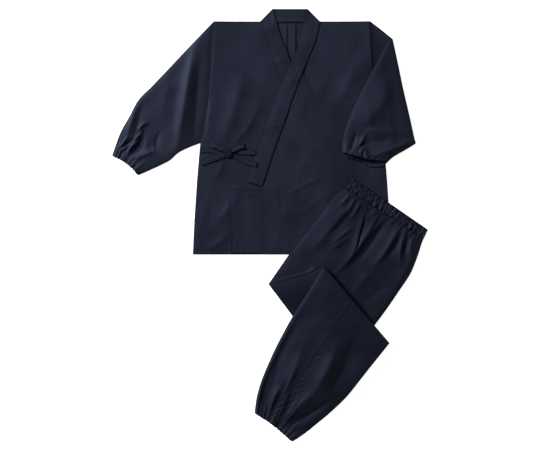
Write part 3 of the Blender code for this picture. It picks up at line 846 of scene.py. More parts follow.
@dataclass(frozen=True)
class ThreadFinish:
    """Sewing thread in the cloth's colour, a little glossier than it."""

    name: str
    colour: Triple
    shade: Triple

    def material(self, effects: Effects) -> bpy.types.Material:
        """Make the material, mottled between the thread's shade and its colour.

        Args:
            effects: The shared node groups by name.

        Returns:
            The material.
        """
        made, sketch, shader = new_material(self.name, Specular_IOR_Level=GLOSS,
                                            Specular_Tint=(*GLOSS_TINT, 1))
        place = sketch.add("TexCoord").outputs["Object"]
        mottle = sketch.add("Group", node_tree=effects["mottle"], Place=place, Scale=160.0).outputs[0]
        colour = sketch.mix(sketch.times(mottle, 0.5, 0.5), self.shade, self.colour)
        sketch.join(colour, shader.inputs["Base Color"])
        sketch.join(sketch.times(mottle, 0.1, 0.6), shader.inputs["Roughness"])
        return made


# Each cloth's third colour is its painted edge shade, darker than its dark tone.
FINISHES = {
    Slot.JACKET: (
        ClothFinish("jacket_cotton", (0.0068, 0.0080, 0.0141), (0.0161, 0.0194, 0.0336),
                    (0.0030, 0.0036, 0.0064)),
        ThreadFinish("jacket_thread", (0.0065, 0.0077, 0.0140), (0.0035, 0.0042, 0.0080)),
    ),
    Slot.TROUSERS: (
        ClothFinish("trouser_cotton", (0.0051, 0.0060, 0.0108), (0.0122, 0.0145, 0.0258),
                    (0.0023, 0.0027, 0.0049), mottle_scale=8.5),
        ThreadFinish("trouser_thread", (0.0050, 0.0060, 0.0110), (0.0025, 0.0030, 0.0057)),
    ),
}


class Workshop:
    """What every garment shares: the ground it lies on, the finishes and the collection."""

    def __init__(self) -> None:
        """Make the collection, the shared node groups and the finishes."""
        self.ground = Ground()
        self.collection = bpy.data.collections.new("samue_cloths")
        bpy.context.scene.collection.children.link(self.collection)
        effects = {"weave": plain_weave(), "slub": slub_yarn(), "mottle": dye_mottle(),
                   "edge": painted_edge_shade()}
        self.materials = {slot: [finish.material(effects) for finish in finishes]
                          for slot, finishes in FINISHES.items()}

    def place(self, mesh: bpy.types.Mesh, name: str, sewn: bool) -> bpy.types.Object:
        """Put a mesh in the scene as a piece, in its garment's finish.

        Args:
            mesh: The mesh.
            name: The piece's name.
            sewn: Whether it is thread, and not cloth.

        Returns:
            The piece.
        """
        slot = Slot.TROUSERS if name.startswith("trousers") else Slot.JACKET
        mesh.materials.append(self.materials[slot][int(sewn)])
        piece = bpy.data.objects.new(name, mesh)
        self.collection.objects.link(piece)
        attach(piece, BODY)
        log.info("%s: %d faces", name, len(mesh.polygons))
        return piece


@dataclass
class Garment:
    shop: Workshop

    def plan(self, grid: Array) -> Array:
        """Turn the garment's own grid into x and y, which are the same here."""
        return grid

    def rest(self, node: str, grid: Array, reach: float = REACH, blend: float = BLEND,
             also: Nodes = ()) -> Array:
        """Height at which a node's cloth rests on what its cut names, and on other pieces too."""
        return self.shop.ground.height(self.plan(grid), CUTS[node].on + also, reach, blend)

    def shell(self, node: str, under: Array, upper: Array, steps: Steps,
              bulges: tuple[float, ...] = EDGE_ROUND) -> Panel:
        """Make the cloth that stands for a node.

        Args:
            node: The CAD node that it replaces.
            under: Its underside as a grid of x, y and z.
            upper: Its upper side.
            steps: The shares of the grid's rows and of its columns.
            bulges: How far each ring of its edge stands out.

        Returns:
            The finished panel.
        """
        piece = self.shop.place(closed_shell(node, under, upper, bulges), f"{node}_cloth", False)
        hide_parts(node)
        self.shop.ground.lay(node, upper)
        return Panel(upper, steps, piece)

    def cloth(self, node: str, grid: Array, height: Array, steps: Steps, wall: float = CLOTH) -> Panel:
        """Make a plain cloth: its underside at the given height, its upper side a wall above."""
        plan = self.plan(grid)
        return self.shell(node, raised(plan, height), raised(plan, height + wall), steps)

    def layers(self, node: str, grid: Array, height: Array | float, thickness: Array, count: int,
               steps: Steps) -> None:
        """Make a stack of hidden layers, whose rim is drawn in by 1.6 mm between each two of them.

        Args:
            node: The CAD node that they stand for.
            grid: Their sections.
            height: The height of their underside.
            thickness: Their thickness in all.
            count: How many of them show at the rim.
            steps: The shares of the grid's rows and of its columns.
        """
        level = np.arange(1, 6 * count) / (6 * count)
        bulges = tuple(0.5 - 2.1 * (1 - np.abs(np.sin(np.pi * count * level))) ** 1.5)
        plan = self.plan(grid)
        self.shell(node, raised(plan, height), raised(plan, height + thickness), steps, bulges)

    def sew(self, panel: Panel, *lines: tuple[Array | float, Array | float]) -> None:
        """Sew lines of stitches on a panel, as one piece that goes with it.

        Args:
            panel: The panel.
            *lines: The shares of its rows and of its columns that each line runs through.
        """
        points, quads = zip(*[Stitch().row(panel.at(*line)) for line in lines])
        first = np.cumsum([0, *map(len, points)])
        name = panel.piece.name.replace("_cloth", "_stitches")
        mesh = make_mesh(name, np.concatenate(points),
                         np.concatenate([row + start for row, start in zip(quads, first)]))
        self.shop.place(mesh, name, True).parent = panel.piece


@dataclass
class JacketPart(Garment):
    """A part of the jacket, in its frame: x from its centre line, and drop below its shoulder line."""

    centre: float = 72.0
    shoulder: float = 665.0
    # The side seam: drop, half width
    sides: Rows = ((0, 256), (156, 266), (248, 273), (369, 289), (395, 299), (422, 302), (516, 310),
                   (652, 319), (760, 324))

    def plan(self, grid: Array) -> Array:
        """Turn x from the centre line and the drop below the shoulder line into x and y."""
        return np.stack([self.centre + grid[..., 0], self.shoulder - grid[..., 1]], axis=-1)

    def side_at(self, drop: Array) -> Array:
        """Half width of the body at a drop, between the given ones on straight runs."""
        return np.interp(drop, *np.array(self.sides, float).T)

    def armhole_fit(self, grid: Array, side: int, fade: Array) -> Array:
        """Bend a sleeve's first sections onto the body's side seam, a seam gap clear of it.

        Args:
            grid: The sleeve's sections, from the armhole on.
            side: −1 for the right sleeve, 1 for the left one.
            fade: The share of the bend that each section takes.

        Returns:
            The bent grid.
        """
        wanted = side * (self.side_at(grid[0, :, 1]) + SEAM_GAP)
        shift = (wanted - grid[0, :, 0])[None, :] * fade[:, None]
        return np.stack([grid[..., 0] + shift, grid[..., 1]], axis=-1)


@dataclass
class JacketBody(JacketPart):
    """The jacket's back, its two crossed fronts and the pocket on the right one."""

    length: float = 761.0
    back_half: float = 230.0       # from a side seam to the box pleat
    front_width: float = 340.0
    side_lines: Triple = (6.0, 11.0, 17.0)     # close steps in the raised side seam
    back_spacing: float = 9.0
    front_spacing: float = 4.5
    pocket_spacing: float = 4.0
    hem: float = 11.0              # the hem's stitches above the lower edge
    pleat_rise: float = 2.6
    pleat: Triple = (-18.0, 10.5, 150.0)       # its two lines, and the drop it ends at
    # The left front's free edge: drop, x
    free_edge: Rows = ((0, 82), (66, 64), (117, 42), (177, 18), (248, -6), (311, -27), (371, -49),
                       (438, -73), (500, -91), (539, -99), (760, -99))
    pocket: Rows = ((-206, 549, -55, 549), (-203, 650, -54, 650), (-199, 757, -52, 757))
    pocket_width: float = 150.0
    pocket_length: float = 208.0
    pocket_hem: float = 26.0
    pocket_seams: tuple[float, float] = (3.0, 9.0)
    # Each side seam's rise, how far in it falls off, and the drop where it ends
    roll_right: Triple = (3.2, 55.0, 430.0)
    roll_left: Triple = (5.4, 48.0, 190.0)
    ease_left: float = 44.0        # how softly the left front eases over what is below it
    folds_right: Reliefs = (
        soft_fold(-160, 165, -228, 400, 6, 4.8, 26), soft_fold(-262, 250, -278, 380, -4, 2.8, 16),
        soft_fold(-95, 250, -150, 380, -8, 2.2, 22), Fold(-118, 300, -196, 405, 6, 2.0, 13),
        soft_fold(-262, 450, -285, 700, 4, 1.2, 22), Fold(-222, 440, -252, 520, 4, 2.6, 12),
        Fold(-178, 545, -250, 662, 8, 2.8, 14), Fold(-205, 690, -282, 748, 5, 2.6, 13),
        soft_fold(-262, 590, -290, 690, 4, -1.6, 14), soft_fold(-120, 590, -140, 735, 6, 1.0, 20),
        Unevenness(0.2, 60, 11), Unevenness(0.7, 170, 12),
    )
    folds_left: Reliefs = (
        soft_fold(130, 40, 70, 260, 10, 1.8, 28), soft_fold(205, 150, 118, 305, 10, 2.4, 26),
        soft_fold(62, 330, 8, 560, 8, 1.4, 28), Fold(-38, 578, 112, 505, 4, 1.5, 9),
        soft_fold(150, 420, 110, 700, -8, 1.6, 32), soft_fold(-30, 600, -50, 735, 4, 1.2, 22),
        Fold(-70, 528, -6, 508, 2, 1.0, 6), Fold(20, 640, 120, 560, 4, 1.2, 12),
        soft_fold(60, 210, 10, 340, -6, 1.2, 20), Unevenness(0.2, 60, 17), Unevenness(0.7, 170, 18),
    )

    @staticmethod
    def level_grid(left: Array, right: Array, drops: Array, columns: Array) -> Array:
        """Loft level sections between two sides, given by their x at each drop."""
        return across(np.stack([left, drops], axis=-1), np.stack([right, drops], axis=-1), columns)

    def back(self) -> None:
        """The back: flat, with the box pleat that shows below the neck.

        Each of its two lines is an edge that the cloth climbs to over 20 mm and falls off within 3 mm:
        its rise × e^(−distance ÷ 20) before the line, and × e^(−(distance ÷ 2.4)²) after it, the higher
        of the two lines counting. Both die away at the pleat's end.
        """
        rows = run_steps(self.length, self.back_spacing, (self.hem,))
        outer = run_steps(self.back_half, self.back_spacing)
        drops = rows * self.length
        sides = self.side_at(drops)
        *lines, end = self.pleat
        beside = np.array([-7, -4.5, -3, -1.6, 0, 1.6, 3, 4.5, 7])
        middle = np.concatenate([lines[0] + beside, [-3.5], lines[1] + beside])
        first, last = np.full_like(sides, middle[0]), np.full_like(sides, middle[-1])
        grid = np.concatenate([
            self.level_grid(-sides, first, drops, outer)[:, :-1],
            self.level_grid(first, last, drops, (middle - middle[0]) / np.ptp(middle)),
            self.level_grid(last, sides, drops, outer)[:, 1:],
        ], axis=1)
        x, drop = grid[..., 0], grid[..., 1]
        edges = [np.where(x < line, np.exp((x - line) / 20), bell(x - line, 2.4)) for line in lines]
        height = self.pleat_rise * np.max(edges, axis=0) * puff(drop - 3, 7) * (drop > 3)
        height = height * np.clip((end - drop) / 40, 0, 1)
        self.cloth("jacket_back", grid, height, (rows, np.linspace(0, 1, grid.shape[1])))

    def front(self, node: str, side: int, folds: Reliefs, ease: float, roll: Triple) -> None:
        """Lay a front: what is below it + the raised side seam + folds and unevenness within it.

        It eases over what is below it the more widely the further it is from its free edge.

        Args:
            node: The CAD node that it stands for.
            side: −1 for the right front, 1 for the left one.
            folds: Its folds and unevenness.
            ease: How softly it eases over the edges below it.
            roll: Its raised side seam's height, how far in that falls off, and where down it ends.
        """
        rows = run_steps(self.length, self.front_spacing, (self.length - self.hem,))
        columns = run_steps(self.front_width, self.front_spacing, self.side_lines)
        drops = rows * self.length
        edge = np.interp(drops, *np.array(self.free_edge, float).T)
        grid = self.level_grid(side * self.side_at(drops), side * edge, drops, columns)
        (from_side, from_edge), drop = spans(grid), grid[..., 1]
        soft = soft_sides(grid, 12, 24) * puff(drop, 12) * puff(self.length - drop, 10)
        close, eased = self.rest(node, grid), self.rest(node, grid, REACH, ease)
        height = (close + (np.maximum(eased, close) - close) * puff(from_edge, 45) ** 2
                  + side_roll(from_side, drop, *roll) + np.maximum(folded(grid, folds) + 0.9, 0) * soft
                  + 0.35 + sewn_dip(self.length - self.hem - drop, 0.35))
        panel = self.cloth(node, grid, height, (rows, columns))
        self.sew(panel, (1 - self.hem / self.length, np.linspace(0.02, 0.995, 400)))

    def build_pocket(self) -> None:
        """The pocket: flat on the right front, with its hem and its sewn edge."""
        rows = run_steps(self.pocket_length, self.pocket_spacing, (self.pocket_hem,))
        columns = run_steps(self.pocket_width, self.pocket_spacing, self.pocket_seams)
        grid = section_grid(self.pocket, rows, columns)
        from_left, _ = spans(grid)
        height = self.rest("pocket", grid, 4.0, 4.0) + 0.4 * puff(from_left, 4)
        height = height + Unevenness(0.25, 60, 31).height(grid)
        height = np.maximum(height, self.rest("pocket", grid, 3.0, 4.0)) + 0.4
        height = height + sewn_dip(grid[..., 1] - self.pocket[0][1] - self.pocket_hem, 0.4)
        height = height + sum(sewn_dip(from_left - seam, 0.3) for seam in self.pocket_seams)
        share = np.linspace(0.01, 0.99, 200)
        self.sew(self.cloth("pocket", grid, height, (rows, columns)),
                 (self.pocket_hem / self.pocket_length, share),
                 *[(share, seam / self.pocket_width) for seam in self.pocket_seams])


@dataclass
class Collar(JacketPart):
    """The collar: a folded band up each front's edge and round the neck."""

    length: float = 560.0
    width: float = 50.0
    spacing: float = 4.0
    neck_height: float = 44.0
    neck_width: float = 108.0
    neck_spacing: float = 3.0
    stitch_line: float = 11.4      # inside the band's outer edge
    turn: float = 0.07             # share of the band from the neck's corner to the shoulder's
    left: Rows = (
        (44, -40, 51, -41), (39, 0, 92, 1), (25, 49, 76, 66), (12, 96, 56, 112), (-5, 132, 40, 153),
        (-31, 189, 15, 216), (-51, 240, -3, 265), (-71, 296, -22, 322), (-95, 359, -45, 385),
        (-117, 420, -67, 446), (-137, 478, -84, 500), (-147, 523, -98, 539),
    )
    right: Rows = (
        (-64, -41, -60, -39), (-104, 0, -51, 0), (-86, 60, -37, 46), (-71, 105, -21, 83),
        (-52, 162, -5, 130), (-26, 215, 22, 188), (0, 265, 47, 240), (22, 322, 70, 296),
        (45, 385, 94, 359), (67, 446, 117, 420), (84, 500, 137, 478), (98, 539, 147, 523),
    )
    neck: Rows = ((-62, -41, 46, -41), (-58, 2.5, 44, 2.5))
    creases_left: Reliefs = (
        Fold(-76, 286, -30, 304, 2, 1.3, 5), Fold(-88, 338, -36, 352, 3, 1.6, 6),
        Fold(-20, 190, 10, 205, 2, 1.2, 6), Fold(-120, 455, -70, 470, 2, 1.2, 6),
        Fold(15, 60, 70, 80, 3, 1.4, 8), Unevenness(0.2, 45, 11),
    )
    creases_right: Reliefs = (
        Fold(-76, 104, -24, 96, 2, 1.5, 5), Fold(-66, 136, -16, 124, 2, 1.3, 5),
        Fold(-100, 30, -46, 24, 4, 1.6, 9), Unevenness(0.2, 45, 12),
    )

    def band(self, node: str, sections: Rows, line: float, creases: Reliefs) -> None:
        """Lay a band: a flat section between its two edges + its creases + the topstitching's dip.

        The section starts halfway between what lies below its two edges and climbs to what lies
        below the outer one, by the sine of a quarter turn that it ends at 0.72 of the way. Where what
        is below it is higher, that counts.

        Args:
            node: The CAD node that it stands for.
            sections: Its sections.
            line: How far across it the topstitching runs.
            creases: Its creases and unevenness.
        """
        rows, columns = run_steps(self.length, self.spacing), run_steps(self.width, self.spacing, (line,))
        turn = np.linspace(0, 1, 11)[:-1]
        grid = np.concatenate([section_grid(sections[:2], turn, columns),
                               section_grid(sections[1:], rows, columns)])
        rows = np.concatenate([turn * self.turn, self.turn + rows * (1 - self.turn)])
        from_first, from_last = spans(grid)
        close = self.rest(node, grid, 1.5, 5.0)
        even = np.ones(15) / 15
        first, last = [np.convolve(np.pad(close[:, k], 7, "edge"), even, "valid")[:, None] for k in (0, -1)]
        share = from_first / (from_first + from_last)
        inner, outer, climb = (first, last, share) if line > self.width / 2 else (last, first, 1 - share)
        inner = np.maximum(inner, (inner + outer) / 2)
        level = inner + (outer - inner) * np.sin(np.pi / 2 * np.clip(climb / 0.72, 0, 1))
        lift = np.maximum(folded(grid, creases) + 0.3, 0) * puff(np.minimum(from_first, from_last), 9)
        height = np.maximum(close, level) + lift + 0.15 + sewn_dip(from_first - line, 0.4)
        panel = self.cloth(node, grid, height, (rows, columns), BAND)
        self.sew(panel, (np.linspace(0.01, 0.995, 500), line / self.width))

    def build_right(self) -> None:
        """The neck's stretch, whose lower edge lies on the back, and the right front's band."""
        steps = (run_steps(self.neck_height, self.neck_spacing),
                 run_steps(self.neck_width, self.spacing))
        grid = section_grid(self.neck, *steps)
        height = self.rest("collar_neck", grid, 1.0, 4.0) + 0.5 * bell(grid[..., 1] + 20, 12) + 0.3
        self.cloth("collar_neck", grid, height, steps, BAND)
        self.band("collar_right", self.right, self.stitch_line, self.creases_right)

    def build_left(self) -> None:
        """The left front's band."""
        self.band("collar_left", self.left, self.width - self.stitch_line, self.creases_left)


@dataclass(frozen=True)
class Cuff:
    """A cuff with an elastic in its casing."""

    gathers: Gathers
    small: Gathers                 # the finer ruffles of the casing itself
    casing: float = 13.0
    crown: float = 1.2
    scallop: float = 1.3

    def drawn(self, grid: Array, columns: Array, bow: Array | float, reach: float) -> Array:
        """Draw the cuff's edge back by the bow, and scallop it where the ruffles crest.

        Args:
            grid: The cloth's sections, the last one at the cuff.
            columns: The shares of its columns.
            bow: How far each column is drawn back at the cuff.
            reach: How far up from the cuff the bow fades away.

        Returns:
            The drawn grid.
        """
        ruffle = self.small.height(columns, np.zeros_like(columns)) / self.small.rise
        distance = run_from(grid, -1)
        pull = bow * np.clip(1 - distance / reach, 0, 1)
        scallop = self.scallop * ruffle * bell(distance, 7)
        return grid + unit(grid[-6] - grid[-1]) * (pull - scallop)[..., None]

    def lift(self, grid: Array, columns: Array) -> Array:
        """Gathers + the casing's ruffles, its round crown and the dip of its stitches.

        Args:
            grid: The drawn grid.
            columns: The shares of its columns.

        Returns:
            What they add to the height at each point.
        """
        distance = run_from(grid, -1)
        share = np.broadcast_to(columns, distance.shape)
        crown = self.crown * np.sin(np.pi * np.clip(distance / self.casing, 0, 1))
        return (self.gathers.height(share, distance - self.casing) + crown
                + self.small.height(share, distance) + sewn_dip(distance - self.casing, 0.9))


@dataclass
class RightSleeve(JacketPart):
    """The spread right sleeve: its back cloth on the surface and its front cloth on that."""

    sections: Rows = (
        (-256, 0, -298, 397), (-335, 82, -336, 411), (-419, 171, -377, 433), (-460, 214, -399, 453),
        (-502, 257, -429, 469), (-531, 310, -457, 482), (-559, 360, -479, 492), (-588, 438, -503, 502),
    )
    length: float = 430.0
    breadth: float = 380.0
    spacing: float = 3.2
    hidden_spacing: float = 7.0
    bow: float = 8.0               # how far the cuff's middle is drawn back
    bow_reach: float = 90.0        # how far up the sleeve that fades away
    cuff: Cuff = Cuff(Gathers(8, 2.6, 24, 4), Gathers(12, 2.2, 12, 9), scallop=2.2)
    folds: Reliefs = (
        Fold(-311, 66, -374, 425, -4, 12.5, 22, 0.35, 0.7), Fold(-300, 110, -322, 400, 0, -3.0, 16),
        Fold(-400, 160, -432, 330, 4, 2.0, 26), Fold(-510, 264, -539, 380, 1, 8.5, 14, 0.45, 0.6),
        Fold(-482, 262, -512, 372, -4, -2.5, 12), Fold(-468, 333, -500, 353, -5, 5.5, 6, -0.2),
        Fold(-505, 350, -486, 362, 3, 3.5, 6), Fold(-512, 376, -560, 414, 4, -6.0, 6),
        Fold(-490, 361, -561, 424, 5, 7.0, 6, -0.2), Fold(-498, 386, -538, 433, -4, 6.5, 6.5),
        Fold(-508, 384, -545, 424, -3, -4.5, 5), Fold(-484, 374, -523, 438, 8, -7.5, 9),
        Fold(-450, 421, -522, 446, 4, 5.5, 11), Fold(-430, 360, -440, 422, -7, -3.5, 9),
        Fold(-536, 376, -567, 414, 2, 4.5, 5), Fold(-569, 374, -567, 408, 2, -4.0, 5),
        Fold(-560, 372, -580, 420, -3, 3.0, 8), Fold(-470, 400, -458, 425, 2, -2.5, 8),
        Unevenness(0.35, 80, 21),
    )

    def grid(self, spacing: float) -> tuple[Array, Steps]:
        """Make the sleeve's grid, fitted to the armhole over the first 3/19 of its length.

        Args:
            spacing: The distance between its points.

        Returns:
            The grid in the jacket's frame, from the armhole to the cuff, and its steps.
        """
        rows = run_steps(self.length, spacing, (self.length - self.cuff.casing,))
        columns = run_steps(self.breadth, spacing)
        grid = self.armhole_fit(section_grid(self.sections, rows, columns), -1,
                                np.clip(1 - rows * 19 / 3, 0, 1))
        bow = self.bow * 4 * columns * (1 - columns)
        return self.cuff.drawn(grid, columns, bow, self.bow_reach), (rows, columns)

    def build(self) -> None:
        """Lay the back cloth, then the front cloth: puff + folds + gathers, seamed all round."""
        grid, steps = self.grid(self.hidden_spacing)
        self.cloth("sleeve_right_back", grid, 0.25 * puff(edge_distance(grid), 20), steps)
        grid, steps = self.grid(self.spacing)
        from_armhole = run_from(grid, 0)
        lift = np.maximum(3.4 + folded(grid, self.folds), 0.2) * soft_sides(grid, 7)
        height = (self.rest("sleeve_right_front", grid, 4.0, 4.0) + lift * puff(from_armhole, 14)
                  + self.cuff.lift(grid, steps[1]) * soft_sides(grid, 5, 5)
                  + 0.9 * bell(from_armhole, 2.5))
        panel = self.cloth("sleeve_right_front", grid, height, steps)
        self.sew(panel, (1 - self.cuff.casing / self.length, np.linspace(0.02, 0.98, 160)))


@dataclass
class LeftSleeve(JacketPart):
    """The left sleeve: its root beside the body, and the rest turned in over the left front."""

    root: Rows = ((256, 0, 298, 397), (290, 26, 350, 398), (327, 56, 400, 399))
    turned: Rows = (
        (317, 57, 328, 56), (268, 149, 348, 149), (226, 228, 365, 230), (195, 292, 379, 290),
        (175, 347, 393, 352), (166, 378, 400, 385), (163, 393, 403, 399), (162, 402, 393, 406),
        (162, 415, 370, 420), (163, 424, 333, 441), (164, 429, 307, 457),
    )
    inside_end: Rows = ((175, 443, 300, 471),)
    length: float = 430.0
    width: float = 230.0
    cuff: Cuff = Cuff(Gathers(8, 2.4, 22, 14, 1.0, 0.3), Gathers(12, 2.0, 10, 19, 1.2, 0.4), scallop=2.0)
    root_size: tuple[float, float] = (104.0, 397.0)
    root_spacing: float = 5.0
    hidden_spacing: float = 6.0
    spacing: float = 3.2
    # How far each cuff's edge is drawn back, or hangs out below 0, where across it, and how widely
    bow: Triple = (-8.0, 0.64, 0.3)
    bow_inside: Triple = (-15.0, 0.74, 0.26)
    bow_reach: float = 40.0
    root_rise: float = 3.6         # how much higher the root lies at the armhole, and how far in
    root_reach: float = 15.0       # that falls off
    cuff_lift: float = 6.0         # how far the elastic holds the upper cuff up
    folds: Reliefs = (
        Fold(320, 190, 205, 352, 22, 6.0, 28, -0.3, 0.9), Fold(206, 362, 384, 368, 6, 3.2, 13, -0.2, 0.6),
        Fold(243, 443, 402, 384, -6, 6.0, 14, -0.1), Fold(240, 366, 203, 432, 2, 6.0, 7),
        Fold(209, 362, 187, 432, 2, -5.5, 6), Fold(178, 392, 168, 430, 0, 3.0, 7),
        Fold(251, 400, 207, 434, -11, -4.5, 7), Fold(229, 412, 221, 446, 0, 5.0, 5),
        Fold(236, 416, 246, 450, 0, 5.0, 5), Fold(226, 428, 229, 450, 0, -3.0, 3),
        Fold(240, 392, 320, 384, -5, -3.0, 12), Fold(186, 300, 168, 395, -4, 3.0, 10),
        Unevenness(0.35, 80, 41),
    )

    def bowed(self, grid: Array, columns: Array, bow: Triple) -> Array:
        """Draw a cuff's edge back by a bow of a given depth, middle and width."""
        depth, middle, width = bow
        return self.cuff.drawn(grid, columns, depth * bell(columns - middle, width), self.bow_reach)

    def build(self) -> None:
        """Root, inner cloth and turned cloth, lowest first."""
        rows, columns = [run_steps(size, self.root_spacing) for size in self.root_size]
        grid = self.armhole_fit(section_grid(self.root, rows, columns), 1, 1 - rows)
        slope = self.root_rise * np.exp(-run_from(grid, 0) / self.root_reach)
        slope = slope * puff(np.min(spans(grid), axis=0), 4)
        self.layers("sleeve_left_root", grid, 0.0, 2 * CLOTH + 0.8 + slope, 2, (rows, columns))

        rows, columns = [run_steps(size, self.hidden_spacing) for size in (self.length, self.width)]
        grid = section_grid(self.turned[:-1] + self.inside_end, rows, columns)
        grid = self.bowed(grid, columns, self.bow_inside)
        height = self.rest("sleeve_left_front", grid, 8.0, 10.0) + 0.6 * self.cuff.lift(grid, columns)
        self.cloth("sleeve_left_front", grid, np.maximum(height, 0), (rows, columns))

        rows = run_steps(self.length, self.spacing, (self.length - self.cuff.casing,))
        columns = run_steps(self.width, self.spacing)
        grid = self.bowed(section_grid(self.turned, rows, columns), columns, self.bow)
        lift = 4.0 + folded(grid, self.folds)
        lift = lift + self.cuff_lift * bell(run_from(grid, -1), 30) * bell(columns - 0.42, 0.34)
        height = (self.rest("sleeve_left_back", grid, 7.0) + np.maximum(lift, 0.2) * soft_sides(grid, 12, 12)
                  + self.cuff.lift(grid, columns) * soft_sides(grid, 4, 4))
        panel = self.cloth("sleeve_left_back", grid, height, (rows, columns))
        self.sew(panel, (1 - self.cuff.casing / self.length, np.linspace(0.02, 0.98, 140)))


@dataclass
class SideTie(JacketPart):
    """The outer tie: a strap from each front, tied in a bow at the right side."""

    # Each strip's path of x, drop and width
    strips: tuple[tuple[str, Rows], ...] = (
        ("tie_side", ((-297, 423, 17), (-281, 420, 16), (-255, 425, 16), (-212, 428, 14))),
        ("tie_front", ((-119, 430, 14), (-150, 428, 15), (-180, 428, 15), (-204, 428, 14))),
        ("tie_end_outer", ((-211, 430, 14), (-222, 435, 19), (-258, 448, 20), (-296, 462, 21))),
        ("tie_end_inner", ((-205, 434, 12), (-180, 444, 14), (-156, 456, 16), (-115, 469, 17))),
    )
    # Each loop's path from the knot outward, and how far it stands open at its end
    loops: tuple[tuple[str, Rows, float], ...] = (
        ("tie_loop_outer", ((-211, 423, 14), (-226, 418, 16), (-243, 410, 17), (-259, 404, 16)), 4.4),
        ("tie_loop_inner", ((-205, 423, 14), (-192, 419, 17), (-172, 410, 17), (-157, 406, 15)), 1.4),
    )
    knot: Rows = ((-212, 415, 18), (-210, 422, 21), (-207, 437, 21), (-205, 444, 18))
    strip_length: float = 90.0
    loop_length: float = 60.0
    width: float = 16.0
    knot_length: float = 34.0
    knot_width: float = 17.0
    spacing: float = 3.0
    close_spacing: float = 2.0
    loop_root: float = 0.2         # how far a loop stands open at the knot
    knot_crown: float = 0.6
    reach: float = 3.0
    blend: float = 4.0
    ease: float = 12.0             # how softly the strips climb on what is below them

    def build(self) -> None:
        """Strips, loops and the knot on top, each on those before it."""
        for name, path in self.strips:
            rows = run_steps(self.strip_length, self.spacing)
            columns = run_steps(self.width, self.close_spacing)
            grid = strip_grid(path, rows, columns)
            height = np.maximum(self.rest(name, grid, self.reach, self.ease),
                                self.rest(name, grid, self.reach, self.blend))
            wave = 0.25 * (1 + np.sin(grid[..., 0] / 9)) * puff(spans(grid)[0], 5)
            height = height + wave + 0.3 * soft_sides(grid, 3, 3)
            panel = self.cloth(name, grid, height, (rows, columns), TIE)
            self.sew(panel, (np.linspace(0.04, 0.96, 60), 0.13))
        for name, path, opening in self.loops:
            self.loop(name, path, opening)
        rows = run_steps(self.knot_length, self.close_spacing)
        columns = run_steps(self.knot_width, self.close_spacing)
        grid = strip_grid(self.knot, rows, columns)
        rise = self.knot_crown - 0.8 * bell(spans(grid)[0] - 6, 1.6)
        below = TIE_BASE + tuple(name for name, _ in self.strips)
        height = self.rest("tie_knot", grid, self.reach, self.blend, below) + rise * soft_sides(grid, 4, 4)
        self.cloth("tie_knot", grid, height, (rows, columns), TIE)

    def loop(self, name: str, path: Rows, open_by: float) -> None:
        """One loop of the bow: the strap runs out, turns over in a half circle and runs back.

        Args:
            name: The CAD node that it stands for.
            path: The strap's x, drop and width from the knot outward.
            open_by: How far it stands open at its end.
        """
        rows = run_steps(self.loop_length, self.spacing)
        columns = run_steps(self.width, self.close_spacing)
        grid = strip_grid(path, rows, columns)
        plan = self.plan(grid)
        low = self.rest(name, grid, self.reach, self.blend, TIE_BASE)
        opening = self.loop_root + open_by * np.sin(rows * np.pi / 2)[:, None]
        middle = low[-1] + TIE + opening[-1] / 2
        ahead = unit(plan[-1] - plan[-4])
        outer, inner = [raised(plan, low)], [raised(plan, low + TIE)]
        for radius, side in ((TIE + opening[-1] / 2, outer), (opening[-1] / 2, inner)):
            for angle in np.radians(np.arange(-72, 73, 18)):
                turned = plan[-1] + ahead * (radius * np.cos(angle))[..., None]
                side.append(raised(turned[None], middle + radius * np.sin(angle)))
        top = raised(plan, low + 2 * TIE + opening)
        outer = np.concatenate([*outer, top[::-1]])
        inner = np.concatenate([*inner, raised(plan, low + TIE + opening)[::-1]])
        self.shell(name, outer, inner, (np.linspace(0, 1, len(outer)), columns), (0.0,))
        self.shop.ground.lay(name, top)


